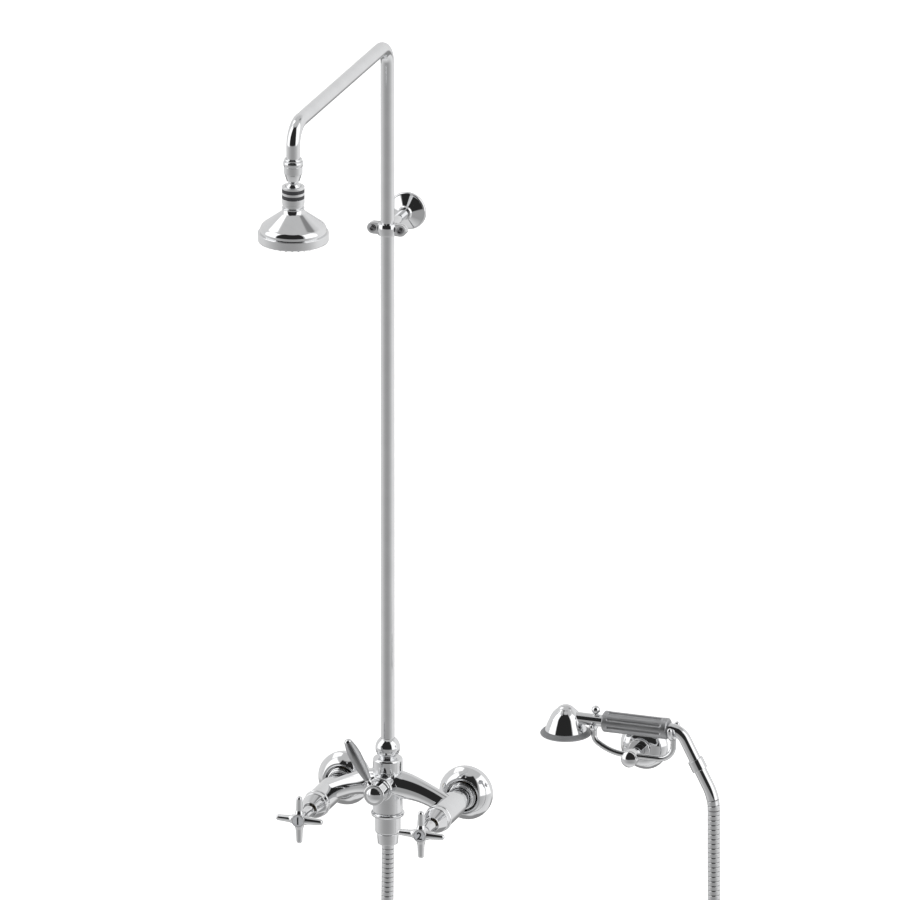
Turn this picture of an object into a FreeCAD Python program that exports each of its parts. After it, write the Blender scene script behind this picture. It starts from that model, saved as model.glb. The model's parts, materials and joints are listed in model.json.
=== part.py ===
# Wall-mounted shower column: an exposed two-handle mixer, a riser with an overhead shower on a
# swivel ball, and a hand shower on a ribbed hose, lying in a fork beside the mixer.
#
# The wall is the plane y = 0 and the column stands in front of it, towards -Y. The origin is on
# the wall, midway between the two water inlets and at their height. Lengths are millimetres.

import FreeCAD, Part
import math
import os

import Sketcher
from FreeCAD import Placement, Rotation, Vector

SIZES = {
    # Clearances: between pieces of one assembly, between moving pieces, and in a running fit
    "seatGap": 0.1,
    "looseGap": 0.3,
    "runningGap": 0.05,
    # Water inlets at the wall
    "inletSpacing": 150,
    "tailRadius": 10.4775,
    "tailDepth": 16,
    "tailUndercut": 0.5,
    "waterwayRadius": 7,
    "unionCollarRadius": 13.2,
    "unionCollarStart": 12,
    "unionEnd": 22,
    "washerThickness": 2,
    # Wall flange of an inlet: a bulging cup that the union nut stands in
    "flangeRadius": 32,
    "flangeDepth": 23,
    "flangeBulge": 10.5,
    "flangeLip": 3,
    "flangeLean": 3,
    "flangeWall": 2,
    "flangeHub": 6,
    # Union nut
    "nutRadius": 16.6,
    "nutLength": 16,
    "nutStep": 1,
    "nutLipLength": 3,
    # Mixer body
    "riserDistance": 70,
    "valveTubeRadius": 15.3,
    "valveTubeStart": 53,
    "valveTubeEnd": 102,
    "valveNeckRadius": 13.5,
    "tailNeckRadius": 11,
    "tailCollarLength": 3,
    "bodyRadius": 17.5,
    "bodyBottom": -11,
    "bodyTop": 39,
    "chamberRadius": 12,
    "archHeight": 24,
    "archDrop": 22,
    "archRootRadius": 14.5,
    "archHaunchRadius": 15.3,
    "archMidRadius": 13.7,
    "archEndRadius": 11.5,
    "archBore": 6,
    "bossHeight": 23.3,
    "bossRadius": 14.5,
    "bossFront": 94,
    # Cartridges and their bonnets
    "cartridgeRadius": 10,
    "cartridgeStart": 76,
    "cartridgeLength": 42,
    "cartridgeBore": 28,
    "skirtLength": 10,
    "skirtWall": 2,
    "bonnetRadius": 15.3,
    "bonnetRing": 4,
    "bonnetRingBulge": 1,
    "bonnetShoulder": 10,
    "bonnetLength": 26,
    "bonnetNose": 9.2,
    "bonnetRecess": 8.2,
    "bonnetRecessDepth": 6,
    # Cross handles
    "spindleRadius": 4,
    "spindleEnd": 158,
    "handleGap": 3,
    "hubRadius": 8.2,
    "hubFront": 169.5,
    "hubNeckRadius": 5.6,
    "hubRimLength": 10,
    "hubWeb": 2.3,
    "armPlane": 164,
    "armLength": 29,
    "armRootRadius": 5.4,
    "armRadius": 4.3,
    "armTipRadius": 3.5,
    "indexRadius": 6.4,
    "indexThickness": 1.3,
    "screwRadius": 2,
    "screwHeadRadius": 3.6,
    "screwHeadLength": 2.6,
    "screwDepth": 13,
    # Diverter and its lever
    "diverterStart": 76,
    "diverterCartridgeLength": 22,
    "diverterBore": 12,
    "diverterRingRadius": 15,
    "diverterRingLength": 4,
    "diverterNoseRadius": 13.6,
    "diverterNoseLength": 4.6,
    "leverHubRadius": 12.8,
    "leverHubLength": 14,
    "leverHubDome": 4.5,
    "leverHubSocket": 11,
    "leverTilt": 29.5,
    "leverPlane": 112,
    "leverRodRadius": 3,
    "leverRodStart": 6.2,
    "leverNeckRadius": 4.6,
    "leverGripStart": 19.4,
    "leverGripLength": 48.6,
    "leverGripRadius": 4.2,
    "leverGripWidest": 7,
    "leverGripSwell": 30.6,
    "leverTipRadius": 4.8,
    "leverCoreRadius": 2.3,
    "leverTipLength": 4.6,
    # Riser collar, ball nut and lower outlet
    "plugLength": 5.4,
    "collarRadius": 17.4,
    "collarLength": 16,
    "collarRound": 3,
    "collarNeckRadius": 9.8,
    "collarNeckLength": 2.6,
    "ballNutRadius": 14.5,
    "ballNutHeight": 67,
    "outletRingRadius": 19.6,
    "outletRingLength": 5.6,
    "outletRadius": 15,
    "outletLength": 26,
    "outletRound": 2,
    "threadRadius": 10.4,
    "threadLength": 10,
    "outletBore": 8,
    "hoseNutRadius": 12.65,
    "hoseNutEndRadius": 11.9,
    "hoseNutLength": 13.5,
    "hoseNutFloor": 2.3,
    # Riser and shower arm: one bent tube
    "pipeRadius": 8,
    "pipeWall": 1.5,
    "pipeBend": 25,
    "armHeight": 928.5,
    "armReach": 316.5,
    "armDrop": 52.5,
    # Upper wall bracket
    "bracketHeight": 703,
    "bracketFlangeRadius": 22.5,
    "bracketFlangeRim": 2.2,
    "bracketFlangeDepth": 12.5,
    "bracketFlangeNeck": 7.2,
    "bracketRodRadius": 5.5,
    "clampRadius": 11,
    "clampBulge": 1,
    "clampHeight": 14,
    "clampScrewSpacing": 33.8,
    "clampEarThickness": 3.7,
    "clampHeadRadius": 4.2,
    "clampHeadLength": 2.4,
    "wallScrewRadius": 2.5,
    "wallScrewDepth": 25,
    "wallScrewStart": 0.5,
    "wallScrewShank": 2.2,
    "wallScrewReach": 16,
    # Overhead shower: end nut, ball, seat, socket nut, shell and spray face
    "endNutRadius": 10.75,
    "endNutSkirt": 5,
    "endNutLength": 9.5,
    "endNutRingRadius": 11.2,
    "endNutRingLength": 5.5,
    "endNutLipRadius": 9.85,
    "endNutLipLength": 3.2,
    "stemThreadRadius": 5,
    "stemNeckRadius": 4.7,
    "stemTaper": 7,
    "stemShoulderRadius": 7.5,
    "stemBore": 3,
    "ballRadius": 9.5,
    "ballDrop": 18,
    "seatThickness": 1,
    "socketRadius": 13.05,
    "socketRise": 3.4,
    "socketLength": 20.4,
    "bandLength": 4.3,
    "bandDepth": 0.8,
    "bandTop": 2.8,
    "bandSpacing": 7.3,
    "headNeckRadius": 9.9,
    "headNeckLength": 5.5,
    "headCollarRadius": 12.6,
    "headGrooveRadius": 11.9,
    "headRingRadius": 12.4,
    "headThroatRadius": 11.2,
    "headThroatDrop": 9,
    "headConeStart": 14,
    "headConeSlope": 34.5,
    "headShoulderRadius": 33.5,
    "headRadius": 38.4,
    "headSkirt": 3.1,
    "headWall": 1.6,
    "headBore": 4,
    "faceRadius": 40.9,
    "faceLength": 9,
    "faceRound": 1.5,
    "facePlate": 2.5,
    "nozzleRadius": 1.1,
    "nozzleLength": 1.7,
    "nozzleRingStep": 7.6,
    # Hand shower cradle
    "cradleDistance": 292.5,
    "cradleHeight": 82.8,
    "cradleFlangeRadius": 30,
    "cradleFlangeRim": 2.5,
    "cradleFlangeDome": 13.5,
    "cradleRingRadius": 13,
    "cradleRingLength": 7,
    "postRadius": 7,
    "postStudRadius": 3,
    "postStudLength": 12.5,
    "forkEyeRadius": 9.5,
    "forkEyeLength": 10.4,
    "forkWireRadius": 3.4,
    "forkArmRise": 2.9,
    "forkLeftRadius": 60,
    "forkLeftTurn": 35,
    "forkLeftCurl": 12,
    "forkStart": 6,
    "forkRightRun": 33.5,
    "forkRightRadius": 18.5,
    "crutchSpread": 55,
    "tineRadius": 3.15,
    "tineSpacing": 26,
    "tineRise": 3.4,
    "yokeGap": 0.8,
    "knobRadius": 9.5,
    "knobLength": 3.2,
    "knobDome": 3.9,
    # Hand shower
    "handsetDistance": 50,
    "handsetRise": 41,
    "bellOffset": 80.2,
    "bellRadius": 24.3,
    "bellMidRadius": 19.2,
    "bellTopRadius": 10.8,
    "bellDepth": 15.8,
    "bellMidDepth": 2.8,
    "bellTopRise": 9,
    "bellRise": 14.4,
    "bellWall": 1.8,
    "stemRadius": 7,
    "coreRadius": 5,
    "coreWall": 1.5,
    "coreInsert": 8,
    "rimRadius": 30,
    "rimBore": 18.5,
    "rimThickness": 8,
    "rimTopRadius": 25.2,
    "rimRound": 2,
    "sprayThickness": 2.5,
    "sprayInset": 0.6,
    "sprayRingStep": 4.6,
    "finialOffset": 43.3,
    "finialSeatRadius": 3.4,
    "finialSeatHeight": 7.4,
    "finialNeckRadius": 2.2,
    "finialBallRadius": 5.15,
    "finialBallHeight": 12.5,
    "gripOffset": 33.1,
    "gripLength": 79.6,
    "gripRadius": 12.4,
    "gripChamfer": 1.4,
    "fluteRadius": 3.2,
    "fluteOffset": 14,
    "fluteMargin": 5.6,
    "elbowOffset": 61.1,
    "elbowTurn": 62.2,
    "elbowRadius": 20,
    "elbowLength": 38,
    "elbowInsert": 8,
    "hoseCollarRadius": 9.25,
    "hoseCollarLength": 13.3,
    "connectorRadius": 7.4,
    "connectorBend": 50,
    "connectorDrop": 92.8,
    # Ribbed hose
    "hoseOffset": 101.9,
    "hoseRadius": 7.2,
    "hoseGroove": 0.6,
    "hoseBore": 4.5,
}
FLUTES = 9
HOSE_RIBS = 196
HEAD_RINGS = 5
SPRAY_RINGS = 4

# The way of the hose below its nut: how far across, as a share of the way from the riser's
# axis to the connector under the hand shower, and how high. Its ends get their own heights.
HOSE_ROUTE = (
    (0, -146),
    (-0.0203, -240),
    (-0.0076, -332),
    (0.1291, -421),
    (0.3621, -474),
    (0.6331, -473),
    (0.866, -422),
    (1.0104, -332),
    (1.0281, -232),
    (1.0028, -131),
    (1, -42),
)

doc = FreeCAD.newDocument("ShowerColumn")


def fill_sheet():
    """Writes each size to the sheet, under its name."""
    sheet = doc.addObject("Spreadsheet::Sheet", "Sizes")
    for row, (name, value) in enumerate(SIZES.items(), 1):
        sheet.set(f"A{row}", name)
        sheet.set(f"B{row}", str(value))
        sheet.setAlias(f"B{row}", name)
    doc.recompute()


class Size:
    """A size: its formula over the sheet's cells, and the number that this gives."""

    def __init__(self, formula, value):
        self.formula = formula
        self.value = value

    def __add__(self, other):
        return joined(self, "+", other, self.value + as_size(other).value)

    def __radd__(self, other):
        return as_size(other) + self

    def __sub__(self, other):
        return joined(self, "-", other, self.value - as_size(other).value)

    def __rsub__(self, other):
        return as_size(other) - self

    def __mul__(self, other):
        return joined(self, "*", other, self.value * as_size(other).value)

    def __rmul__(self, other):
        return as_size(other) * self

    def __truediv__(self, other):
        return joined(self, "/", other, self.value / as_size(other).value)

    def __neg__(self):
        return self * -1


def as_size(value):
    return value if isinstance(value, Size) else Size(f"{value:.12g}", float(value))


def joined(first, sign, second, value):
    return Size(f"({first.formula} {sign} {as_size(second).formula})", value)


def sine(angle):
    return Size(f"sin({angle.formula})", math.sin(math.radians(angle.value)))


def cosine(angle):
    return Size(f"cos({angle.formula})", math.cos(math.radians(angle.value)))


def root(size):
    return Size(f"sqrt({size.formula})", math.sqrt(size.value))


def angle_of(slope):
    return Size(f"atan({slope.formula}) / 1deg", math.degrees(math.atan(slope.value)))


def bulge(chord, rise):
    """The radius of an arc over a chord that it leaves by a rise."""
    return (chord * chord / 4 + rise * rise) / (2 * rise)


def easing(run, rise):
    """The radius of an arc that leaves a line beside its axis, over a run and a rise."""
    return (run * run + rise * rise) / (2 * rise)


class Sheet:
    """Gives a named size from the sheet."""

    def __getattr__(self, name):
        return Size(f"Sizes.{name}", float(SIZES[name]))


s = Sheet()

# Directions that a turned piece's axis takes: up, out from the wall, and along it
UP = Rotation()
OUT = Rotation(Vector(1, 0, 0), 90)
ALONG = Rotation(Vector(0, 1, 0), 90)
# A sketch plane that runs out from the wall and up
SIDEWAYS = Rotation(Vector(0, -1, 0), Vector(0, 0, 1), Vector(-1, 0, 0), "ZXY")
STANDING = Rotation(Vector(1, 0, 0), 90)


def put(thing, base, rotation=UP, angle=None):
    """Places a sub-part. An angle turns it about the way that its rotation's axis gives."""
    base = [as_size(b) for b in base]
    thing.Placement = Placement(Vector(*(b.value for b in base)), rotation)
    for axis, size in zip("xyz", base):
        thing.setExpression(f"Placement.Base.{axis}", size.formula)
    if angle:
        thing.setExpression("Placement.Rotation.Angle", angle.formula)


def new_body(label, base=(0, 0, 0), rotation=UP, angle=None):
    body = doc.addObject("PartDesign::Body", label)
    body.Label = label
    put(body, base, rotation, angle)
    return body


def new_sketch(body, name, base=(0, 0, 0), rotation=UP, angle=None):
    """A sketch on the body's ground plane, offset and turned from there."""
    sketch = body.newObject("Sketcher::SketchObject", name)
    ground = next(f for f in body.Origin.OriginFeatures if f.Role == "XY_Plane")
    sketch.AttachmentSupport = [(ground, "")]
    sketch.MapMode = "FlatFace"
    base = [as_size(b) for b in base]
    sketch.AttachmentOffset = Placement(Vector(*(b.value for b in base)), rotation)
    for axis, size in zip("xyz", base):
        sketch.setExpression(f"AttachmentOffset.Base.{axis}", size.formula)
    if angle:
        sketch.setExpression("AttachmentOffset.Rotation.Angle", angle.formula)
    return sketch


def arc_between(start, end, radius):
    """The shorter arc from start to end, its centre to the left of the way if radius is positive."""
    chord = end - start
    left = Vector(-chord.y, chord.x, 0).normalize()
    height = math.sqrt(max(radius**2 - chord.Length**2 / 4, 0))
    centre = (start + end) * 0.5 + left * math.copysign(height, radius)
    if radius < 0:
        start, end = end, start
    first = math.atan2(start.y - centre.y, start.x - centre.x)
    last = math.atan2(end.y - centre.y, end.x - centre.x)
    if last < first:
        last += 2 * math.pi
    return Part.ArcOfCircle(Part.Circle(centre, Vector(0, 0, 1), abs(radius)), first, last)


def fix(sketch, kind, size, *where):
    number = sketch.addConstraint(Sketcher.Constraint(kind, *where, size.value))
    sketch.setExpression(f"Constraints[{number}]", size.formula)


def fix_point(sketch, edge, end, x, y):
    for line, kind, size in ((-2, "DistanceX", x), (-1, "DistanceY", y)):
        if size.value == 0:
            sketch.addConstraint(Sketcher.Constraint("PointOnObject", edge, end, line))
        else:
            fix(sketch, kind, size, -1, 1, edge, end)


def draw(sketch, outline, closed=True):
    """Draws lines through the outline's points, each (x, y), or (x, y, radius) after an arc.

    A positive radius bends to the left of the way, which is outwards on an outline that goes
    round its inside anticlockwise.
    """
    points = [[as_size(number) for number in point] for point in outline]
    places = [Vector(p[0].value, p[1].value, 0) for p in points]
    first = 0 if closed else 1
    ends = []
    for i in range(first, len(points)):
        if len(points[i]) == 3:
            radius = points[i][2]
            edge = sketch.addGeometry(arc_between(places[i - 1], places[i], radius.value))
            ends.append((1, 2) if radius.value > 0 else (2, 1))
            fix(sketch, "Radius", radius if radius.value > 0 else -radius, edge)
        else:
            sketch.addGeometry(Part.LineSegment(places[i - 1], places[i]))
            ends.append((1, 2))
    for edge, i in enumerate(range(first, len(points))):
        fix_point(sketch, edge, ends[edge][1], points[i][0], points[i][1])
        after = (edge + 1) % len(ends)
        if closed or after:
            start = ends[after][0]
            sketch.addConstraint(Sketcher.Constraint("Coincident", edge, ends[edge][1], after, start))
    if not closed:
        fix_point(sketch, 0, ends[0][0], points[0][0], points[0][1])


def draw_circle(sketch, radius, x=0, y=0):
    x, y = as_size(x), as_size(y)
    edge = sketch.addGeometry(Part.Circle(Vector(x.value, y.value, 0), Vector(0, 0, 1), radius.value))
    fix(sketch, "Radius", radius, edge)
    fix_point(sketch, edge, 3, x, y)


def spin(body, kind, name, outline, base, rotation):
    sketch = new_sketch(body, name + "Outline", base, rotation.multiply(STANDING))
    draw(sketch, outline)
    feature = body.newObject("PartDesign::" + kind, name)
    feature.Profile = sketch
    feature.ReferenceAxis = (sketch, ["V_Axis"])
    feature.Angle = 360
    body.Tip = feature
    return feature


def add_turned(body, name, outline, base=(0, 0, 0), rotation=UP):
    return spin(body, "Revolution", name, outline, base, rotation)


def cut_turned(body, name, outline, base=(0, 0, 0), rotation=UP):
    return spin(body, "Groove", name, outline, base, rotation)


def turned(label, outline, base, rotation=UP, angle=None):
    """A body turned about its own axis from one outline of (radius, way along the axis)."""
    body = new_body(label, base, rotation, angle)
    add_turned(body, "Turned", outline)
    return body


def add_pad(body, name, outline, length, base, rotation):
    sketch = new_sketch(body, name + "Outline", base, rotation)
    draw(sketch, outline)
    pad = body.newObject("PartDesign::Pad", name)
    pad.Profile = sketch
    pad.setExpression("Length", length.formula)
    body.Tip = pad
    return pad


def cut_through(body, name, outline, base, rotation):
    """Cuts an outline away, all through the body and both ways."""
    sketch = new_sketch(body, name + "Outline", base, rotation)
    draw(sketch, outline)
    pocket = body.newObject("PartDesign::Pocket", name)
    pocket.Profile = sketch
    pocket.Type = 1
    pocket.Midplane = True
    body.Tip = pocket
    return pocket


def add_pipe(body, name, path, path_base, path_rotation, radii, base, rotation, angle=None):
    """Sweeps circles of the given radii, drawn where the path starts, along the path."""
    spine = new_sketch(body, name + "Path", path_base, path_rotation)
    draw(spine, path, closed=False)
    profile = new_sketch(body, name + "Profile", base, rotation, angle)
    for radius in radii:
        draw_circle(profile, radius)
    pipe = body.newObject("PartDesign::AdditivePipe", name)
    pipe.Profile = profile
    pipe.Spine = spine
    body.Tip = pipe
    return pipe


def loft(body, kind, name, sections):
    """A solid through circles, each a (radius, base, rotation, angle)."""
    sketches = []
    for number, (radius, base, rotation, angle) in enumerate(sections):
        sketches.append(new_sketch(body, f"{name}Section{number}", base, rotation, angle))
        draw_circle(sketches[-1], radius)
    feature = body.newObject("PartDesign::" + kind, name)
    feature.Profile = sketches[0]
    feature.Sections = [(sketch, [""]) for sketch in sketches[1:]]
    body.Tip = feature
    return feature


def ball(radius):
    return [(0, -radius), (radius, 0, radius), (0, radius, radius)]


def group(label, pieces):
    """Like pieces that share one sub-part."""
    compound = doc.addObject("Part::Compound", label)
    compound.Label = label
    compound.Links = pieces
    return compound


def arm_end():
    """The height of the shower arm's open end."""
    return s.armHeight - s.armDrop


def ball_height():
    """The height of the centre that the overhead shower tips about."""
    return arm_end() - s.endNutSkirt - s.ballDrop


def socket_top():
    return ball_height() + s.socketRise


def socket_bottom():
    return socket_top() - s.socketLength


def handset_height():
    """The height of the hand shower's axis over its cradle."""
    return s.cradleHeight + s.handsetRise


def bell_x():
    return s.cradleDistance - s.bellOffset


def finial_x():
    return s.cradleDistance - s.finialOffset


def grip_x():
    return s.cradleDistance - s.gripOffset


def elbow_x():
    return s.cradleDistance + s.elbowOffset


def hose_x():
    return s.cradleDistance + s.hoseOffset


def connector_end():
    """The height of the connector's lower face, where the hose ends."""
    return handset_height() - s.connectorDrop


def inlet_pieces(name, x):
    """What joins one side of the mixer to the wall. Returns its sealing washer."""
    base = (x, 0, 0)
    tail, bore, collar = s.tailRadius, s.waterwayRadius, s.unionCollarRadius
    chamfer = s.nutStep
    turned(
        f"{name}_inlet_union",
        [
            (bore, -s.tailDepth),
            (tail - chamfer, -s.tailDepth),
            (tail, chamfer - s.tailDepth),
            (tail, -s.tailUndercut),
            (tail - s.tailUndercut, -s.tailUndercut),
            (tail - s.tailUndercut, s.unionCollarStart),
            (collar, s.unionCollarStart),
            (collar, s.unionEnd),
            (bore, s.unionEnd),
        ],
        base,
        OUT,
    )
    wall, lip, curl = s.flangeWall, s.flangeLip, s.flangeBulge
    edge, crest = s.flangeRadius - curl, s.flangeDepth - curl
    recess = edge - lip
    turned(
        f"{name}_wall_flange",
        [
            (s.flangeRadius - s.flangeLean, 0),
            (s.flangeRadius, crest, easing(crest, s.flangeLean)),
            (edge, s.flangeDepth, curl),
            (recess, s.flangeDepth - lip, lip),
            (recess, s.flangeHub),
            (tail + s.looseGap, s.flangeHub),
            (tail + s.looseGap, s.flangeHub - wall),
            (recess + wall, s.flangeHub - wall),
            (recess + wall, s.flangeDepth - lip),
            (edge, s.flangeDepth - wall, wall - lip),
            (s.flangeRadius - wall, crest, wall - curl),
            (s.flangeRadius - s.flangeLean - wall, 0),
        ],
        base,
        OUT,
    )
    front = nut_front()
    start = front - s.nutLength
    lip_back = front - s.nutLipLength + s.seatGap
    radius, step = s.nutRadius, s.nutStep
    turned(
        f"{name}_union_nut",
        [
            (collar + s.seatGap, start),
            (radius - step, start),
            (radius, start + step),
            (radius, start + s.nutLength * 0.6),
            (radius - step, start + s.nutLength * 0.64),
            (radius - step, start + s.nutLength * 0.8),
            (radius - step * 2, start + s.nutLength * 0.84),
            (radius - step * 2, front - step / 2),
            (radius - step * 2.5, front, step / 2),
            (s.tailNeckRadius + s.looseGap, front),
            (s.tailNeckRadius + s.looseGap, lip_back),
            (collar + s.seatGap, lip_back),
        ],
        base,
        OUT,
    )
    return turned(
        f"{name}_inlet_washer",
        [
            (bore, s.unionEnd),
            (collar - s.nutStep, s.unionEnd),
            (collar - s.nutStep, s.unionEnd + s.washerThickness),
            (bore, s.unionEnd + s.washerThickness),
        ],
        base,
        OUT,
    )


def nut_front():
    return s.unionEnd + s.washerThickness + s.tailCollarLength + s.nutLipLength


def arch_sections(side, grow):
    """Circles across one arm of the arch, from its root in the middle to the valve tube."""
    half = s.inletSpacing / 2
    sections = []
    root_radius, haunch, middle, end = s.archRootRadius, s.archHaunchRadius, s.archMidRadius, s.archEndRadius
    for share, thick in ((0.1, root_radius), (0.25, haunch), (0.42, middle), (0.8, end), (0.93, end)):
        slope = s.archDrop * (-2 * share * side) / half
        sections.append(
            (
                grow if grow else thick,
                (half * (share * side), -s.riserDistance, s.archHeight - s.archDrop * share**2),
                ALONG,
                90 - angle_of(slope),
            )
        )
    return sections


def mixer_body():
    """The mixer's casting: two valve tubes, the arch between them, and the centre."""
    body = new_body("mixer_body")
    centre = (0, -s.riserDistance, 0)
    add_turned(
        body,
        "Centre",
        [(0, s.bodyBottom), (s.bodyRadius, s.bodyBottom), (s.bodyRadius, s.bodyTop), (0, s.bodyTop)],
        centre,
    )
    tail = s.unionEnd + s.washerThickness
    shoulder = nut_front() + s.looseGap
    bore, wide = s.cartridgeRadius + s.seatGap, s.cartridgeRadius + s.looseGap * 2 + s.skirtWall
    for side, name in ((-1, "Hot"), (1, "Cold")):
        place = (s.inletSpacing * (side / 2), 0, 0)
        add_turned(
            body,
            name + "Tube",
            [
                (0, tail),
                (s.unionCollarRadius, tail),
                (s.unionCollarRadius, tail + s.tailCollarLength),
                (s.tailNeckRadius, tail + s.tailCollarLength),
                (s.tailNeckRadius, shoulder),
                (s.valveNeckRadius - s.nutStep, shoulder),
                (s.valveNeckRadius, shoulder + s.nutStep, s.nutStep),
                (s.valveNeckRadius, s.valveTubeStart),
                (s.valveTubeRadius - s.nutStep, s.valveTubeStart),
                (s.valveTubeRadius, s.valveTubeStart + s.nutStep, s.nutStep),
                (s.valveTubeRadius, s.valveTubeEnd),
                (0, s.valveTubeEnd),
            ],
            place,
            OUT,
        )
        loft(body, "AdditiveLoft", name + "Arm", arch_sections(side, None))
    add_turned(
        body,
        "Boss",
        [
            (0, s.riserDistance),
            (s.bossRadius, s.riserDistance),
            (s.bossRadius, s.bossFront),
            (0, s.bossFront),
        ],
        (0, 0, s.bossHeight),
        OUT,
    )
    for side, name in ((-1, "Hot"), (1, "Cold")):
        loft(body, "SubtractiveLoft", name + "Channel", arch_sections(side, s.archBore))
        cut_turned(
            body,
            name + "Bore",
            [
                (0, tail),
                (s.waterwayRadius, tail),
                (s.waterwayRadius, s.cartridgeStart),
                (bore, s.cartridgeStart),
                (bore, s.valveTubeEnd - s.skirtLength),
                (wide, s.valveTubeEnd - s.skirtLength),
                (wide, s.valveTubeEnd),
                (0, s.valveTubeEnd),
            ],
            (s.inletSpacing * (side / 2), 0, 0),
            OUT,
        )
    cut_turned(
        body,
        "Chamber",
        [(0, s.bodyBottom), (s.chamberRadius, s.bodyBottom), (s.chamberRadius, s.bodyTop), (0, s.bodyTop)],
        centre,
    )
    cut_turned(
        body,
        "BossBore",
        [
            (0, s.riserDistance),
            (bore, s.riserDistance),
            (bore, s.bossFront - s.skirtLength),
            (wide, s.bossFront - s.skirtLength),
            (wide, s.bossFront),
            (0, s.bossFront),
        ],
        (0, 0, s.bossHeight),
        OUT,
    )


def tap_pieces(name, x):
    """The valve and cross handle on one side of the mixer."""
    base = (x, 0, 0)
    cartridge_bore = s.spindleRadius + s.runningGap
    cartridge_end = s.cartridgeStart + s.cartridgeLength
    taper = s.cartridgeRadius - s.spindleRadius
    turned(
        f"{name}_cartridge",
        [
            (0, s.cartridgeStart + s.seatGap),
            (s.cartridgeRadius, s.cartridgeStart + s.seatGap),
            (s.cartridgeRadius, cartridge_end - taper),
            (cartridge_bore + taper / 3, cartridge_end),
            (cartridge_bore, cartridge_end),
            (cartridge_bore, cartridge_end - s.cartridgeBore),
            (0, cartridge_end - s.cartridgeBore),
        ],
        base,
        OUT,
    )
    seat, length = s.valveTubeEnd, s.bonnetLength
    inner, skirt = s.cartridgeRadius + s.looseGap, s.cartridgeRadius + s.looseGap + s.skirtWall
    hole = s.spindleRadius + s.looseGap
    shoulder, nose = seat + s.bonnetShoulder, seat + length
    floor = nose - s.bonnetRecessDepth
    turned(
        f"{name}_bonnet",
        [
            (inner, seat - s.skirtLength + s.looseGap),
            (skirt, seat - s.skirtLength + s.looseGap),
            (skirt, seat),
            (s.bonnetRadius, seat),
            (s.bonnetRadius, seat + s.bonnetRing, bulge(s.bonnetRing, s.bonnetRingBulge)),
            (s.bonnetRadius, shoulder),
            (s.bonnetRadius - s.bonnetRingBulge, shoulder + s.bonnetRingBulge * 1.5, s.skirtWall),
            (s.bonnetNose, nose - s.seatGap * 8),
            (s.bonnetNose - s.seatGap * 5, nose),
            (s.bonnetRecess, nose),
            (s.bonnetRecess, floor),
            (hole, floor),
            (hole, floor - s.skirtWall * 1.2),
            (inner, floor - s.skirtWall * 1.2),
        ],
        base,
        OUT,
    )
    screw_bore = s.screwRadius + s.runningGap
    turned(
        f"{name}_spindle",
        [
            (0, cartridge_end - s.cartridgeBore + s.looseGap),
            (s.spindleRadius, cartridge_end - s.cartridgeBore + s.looseGap),
            (s.spindleRadius, s.spindleEnd),
            (screw_bore, s.spindleEnd),
            (screw_bore, s.spindleEnd - s.screwDepth),
            (0, s.spindleEnd - s.screwDepth),
        ],
        base,
        OUT,
    )
    cross_handle(name, base, nose)
    web = s.spindleEnd + s.hubWeb
    recess = s.screwHeadRadius / 3
    turned(
        f"{name}_handle_screw",
        [
            (0, s.spindleEnd - s.screwDepth + s.looseGap),
            (s.screwRadius, s.spindleEnd - s.screwDepth + s.looseGap),
            (s.screwRadius, web),
            (s.screwHeadRadius, web),
            (s.screwHeadRadius, web + s.screwHeadLength * 0.6),
            (s.screwHeadRadius * 0.7, web + s.screwHeadLength),
            (recess, web + s.screwHeadLength),
            (recess, web + s.screwHeadLength * 0.4),
            (0, web + s.screwHeadLength * 0.4),
        ],
        base,
        OUT,
    )
    seat = s.hubFront - s.indexThickness
    turned(
        f"{name}_index",
        [
            (0, seat),
            (s.indexRadius, seat),
            (s.indexRadius, s.hubFront - s.seatGap),
            (0, s.hubFront + s.looseGap, bulge(s.indexRadius * 2, s.looseGap + s.seatGap)),
        ],
        base,
        OUT,
    )


def cross_handle(name, base, nose):
    """A hub with a bell-shaped neck and four tapered arms."""
    body = new_body(f"{name}_handle", base, OUT)
    back = nose + s.handleGap
    bore, pocket = s.spindleRadius + s.runningGap, s.screwHeadRadius + s.looseGap * 2
    rim, web = s.hubFront - s.hubRimLength, s.spindleEnd
    recess, seat = s.indexRadius + s.seatGap, s.hubFront - s.indexThickness
    edge = (s.hubRadius - recess) / 2
    add_turned(
        body,
        "Hub",
        [
            (bore, back),
            (s.hubNeckRadius + edge, back),
            (s.hubNeckRadius + edge, back + edge * 3),
            (s.hubNeckRadius, back + s.hubRadius, -s.hubRadius * 3),
            (s.hubRadius, rim, -s.hubRadius * 6),
            (s.hubRadius, s.hubFront - edge),
            (s.hubRadius - edge, s.hubFront, edge),
            (recess, s.hubFront),
            (recess, seat),
            (pocket, seat),
            (pocket, web + s.hubWeb),
            (s.screwRadius + s.seatGap, web + s.hubWeb),
            (s.screwRadius + s.seatGap, web),
            (bore, web),
        ],
    )
    arm = add_turned(
        body,
        "Arm",
        [
            (0, recess + s.seatGap),
            (s.armRootRadius, recess + s.seatGap),
            (s.armRootRadius, s.hubRadius),
            (s.armRadius, s.hubRadius + s.armRadius, -s.armRadius * 2.5),
            (s.armTipRadius, s.armLength - s.armTipRadius),
            (0, s.armLength, s.armTipRadius),
        ],
        (0, 0, s.armPlane),
        ALONG,
    )
    arms = body.newObject("PartDesign::PolarPattern", "Arms")
    arms.Originals = [arm]
    arms.Axis = (next(f for f in body.Origin.OriginFeatures if f.Role == "Z_Axis"), [""])
    arms.Angle = 360
    arms.Occurrences = 4
    body.Tip = arms


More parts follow.
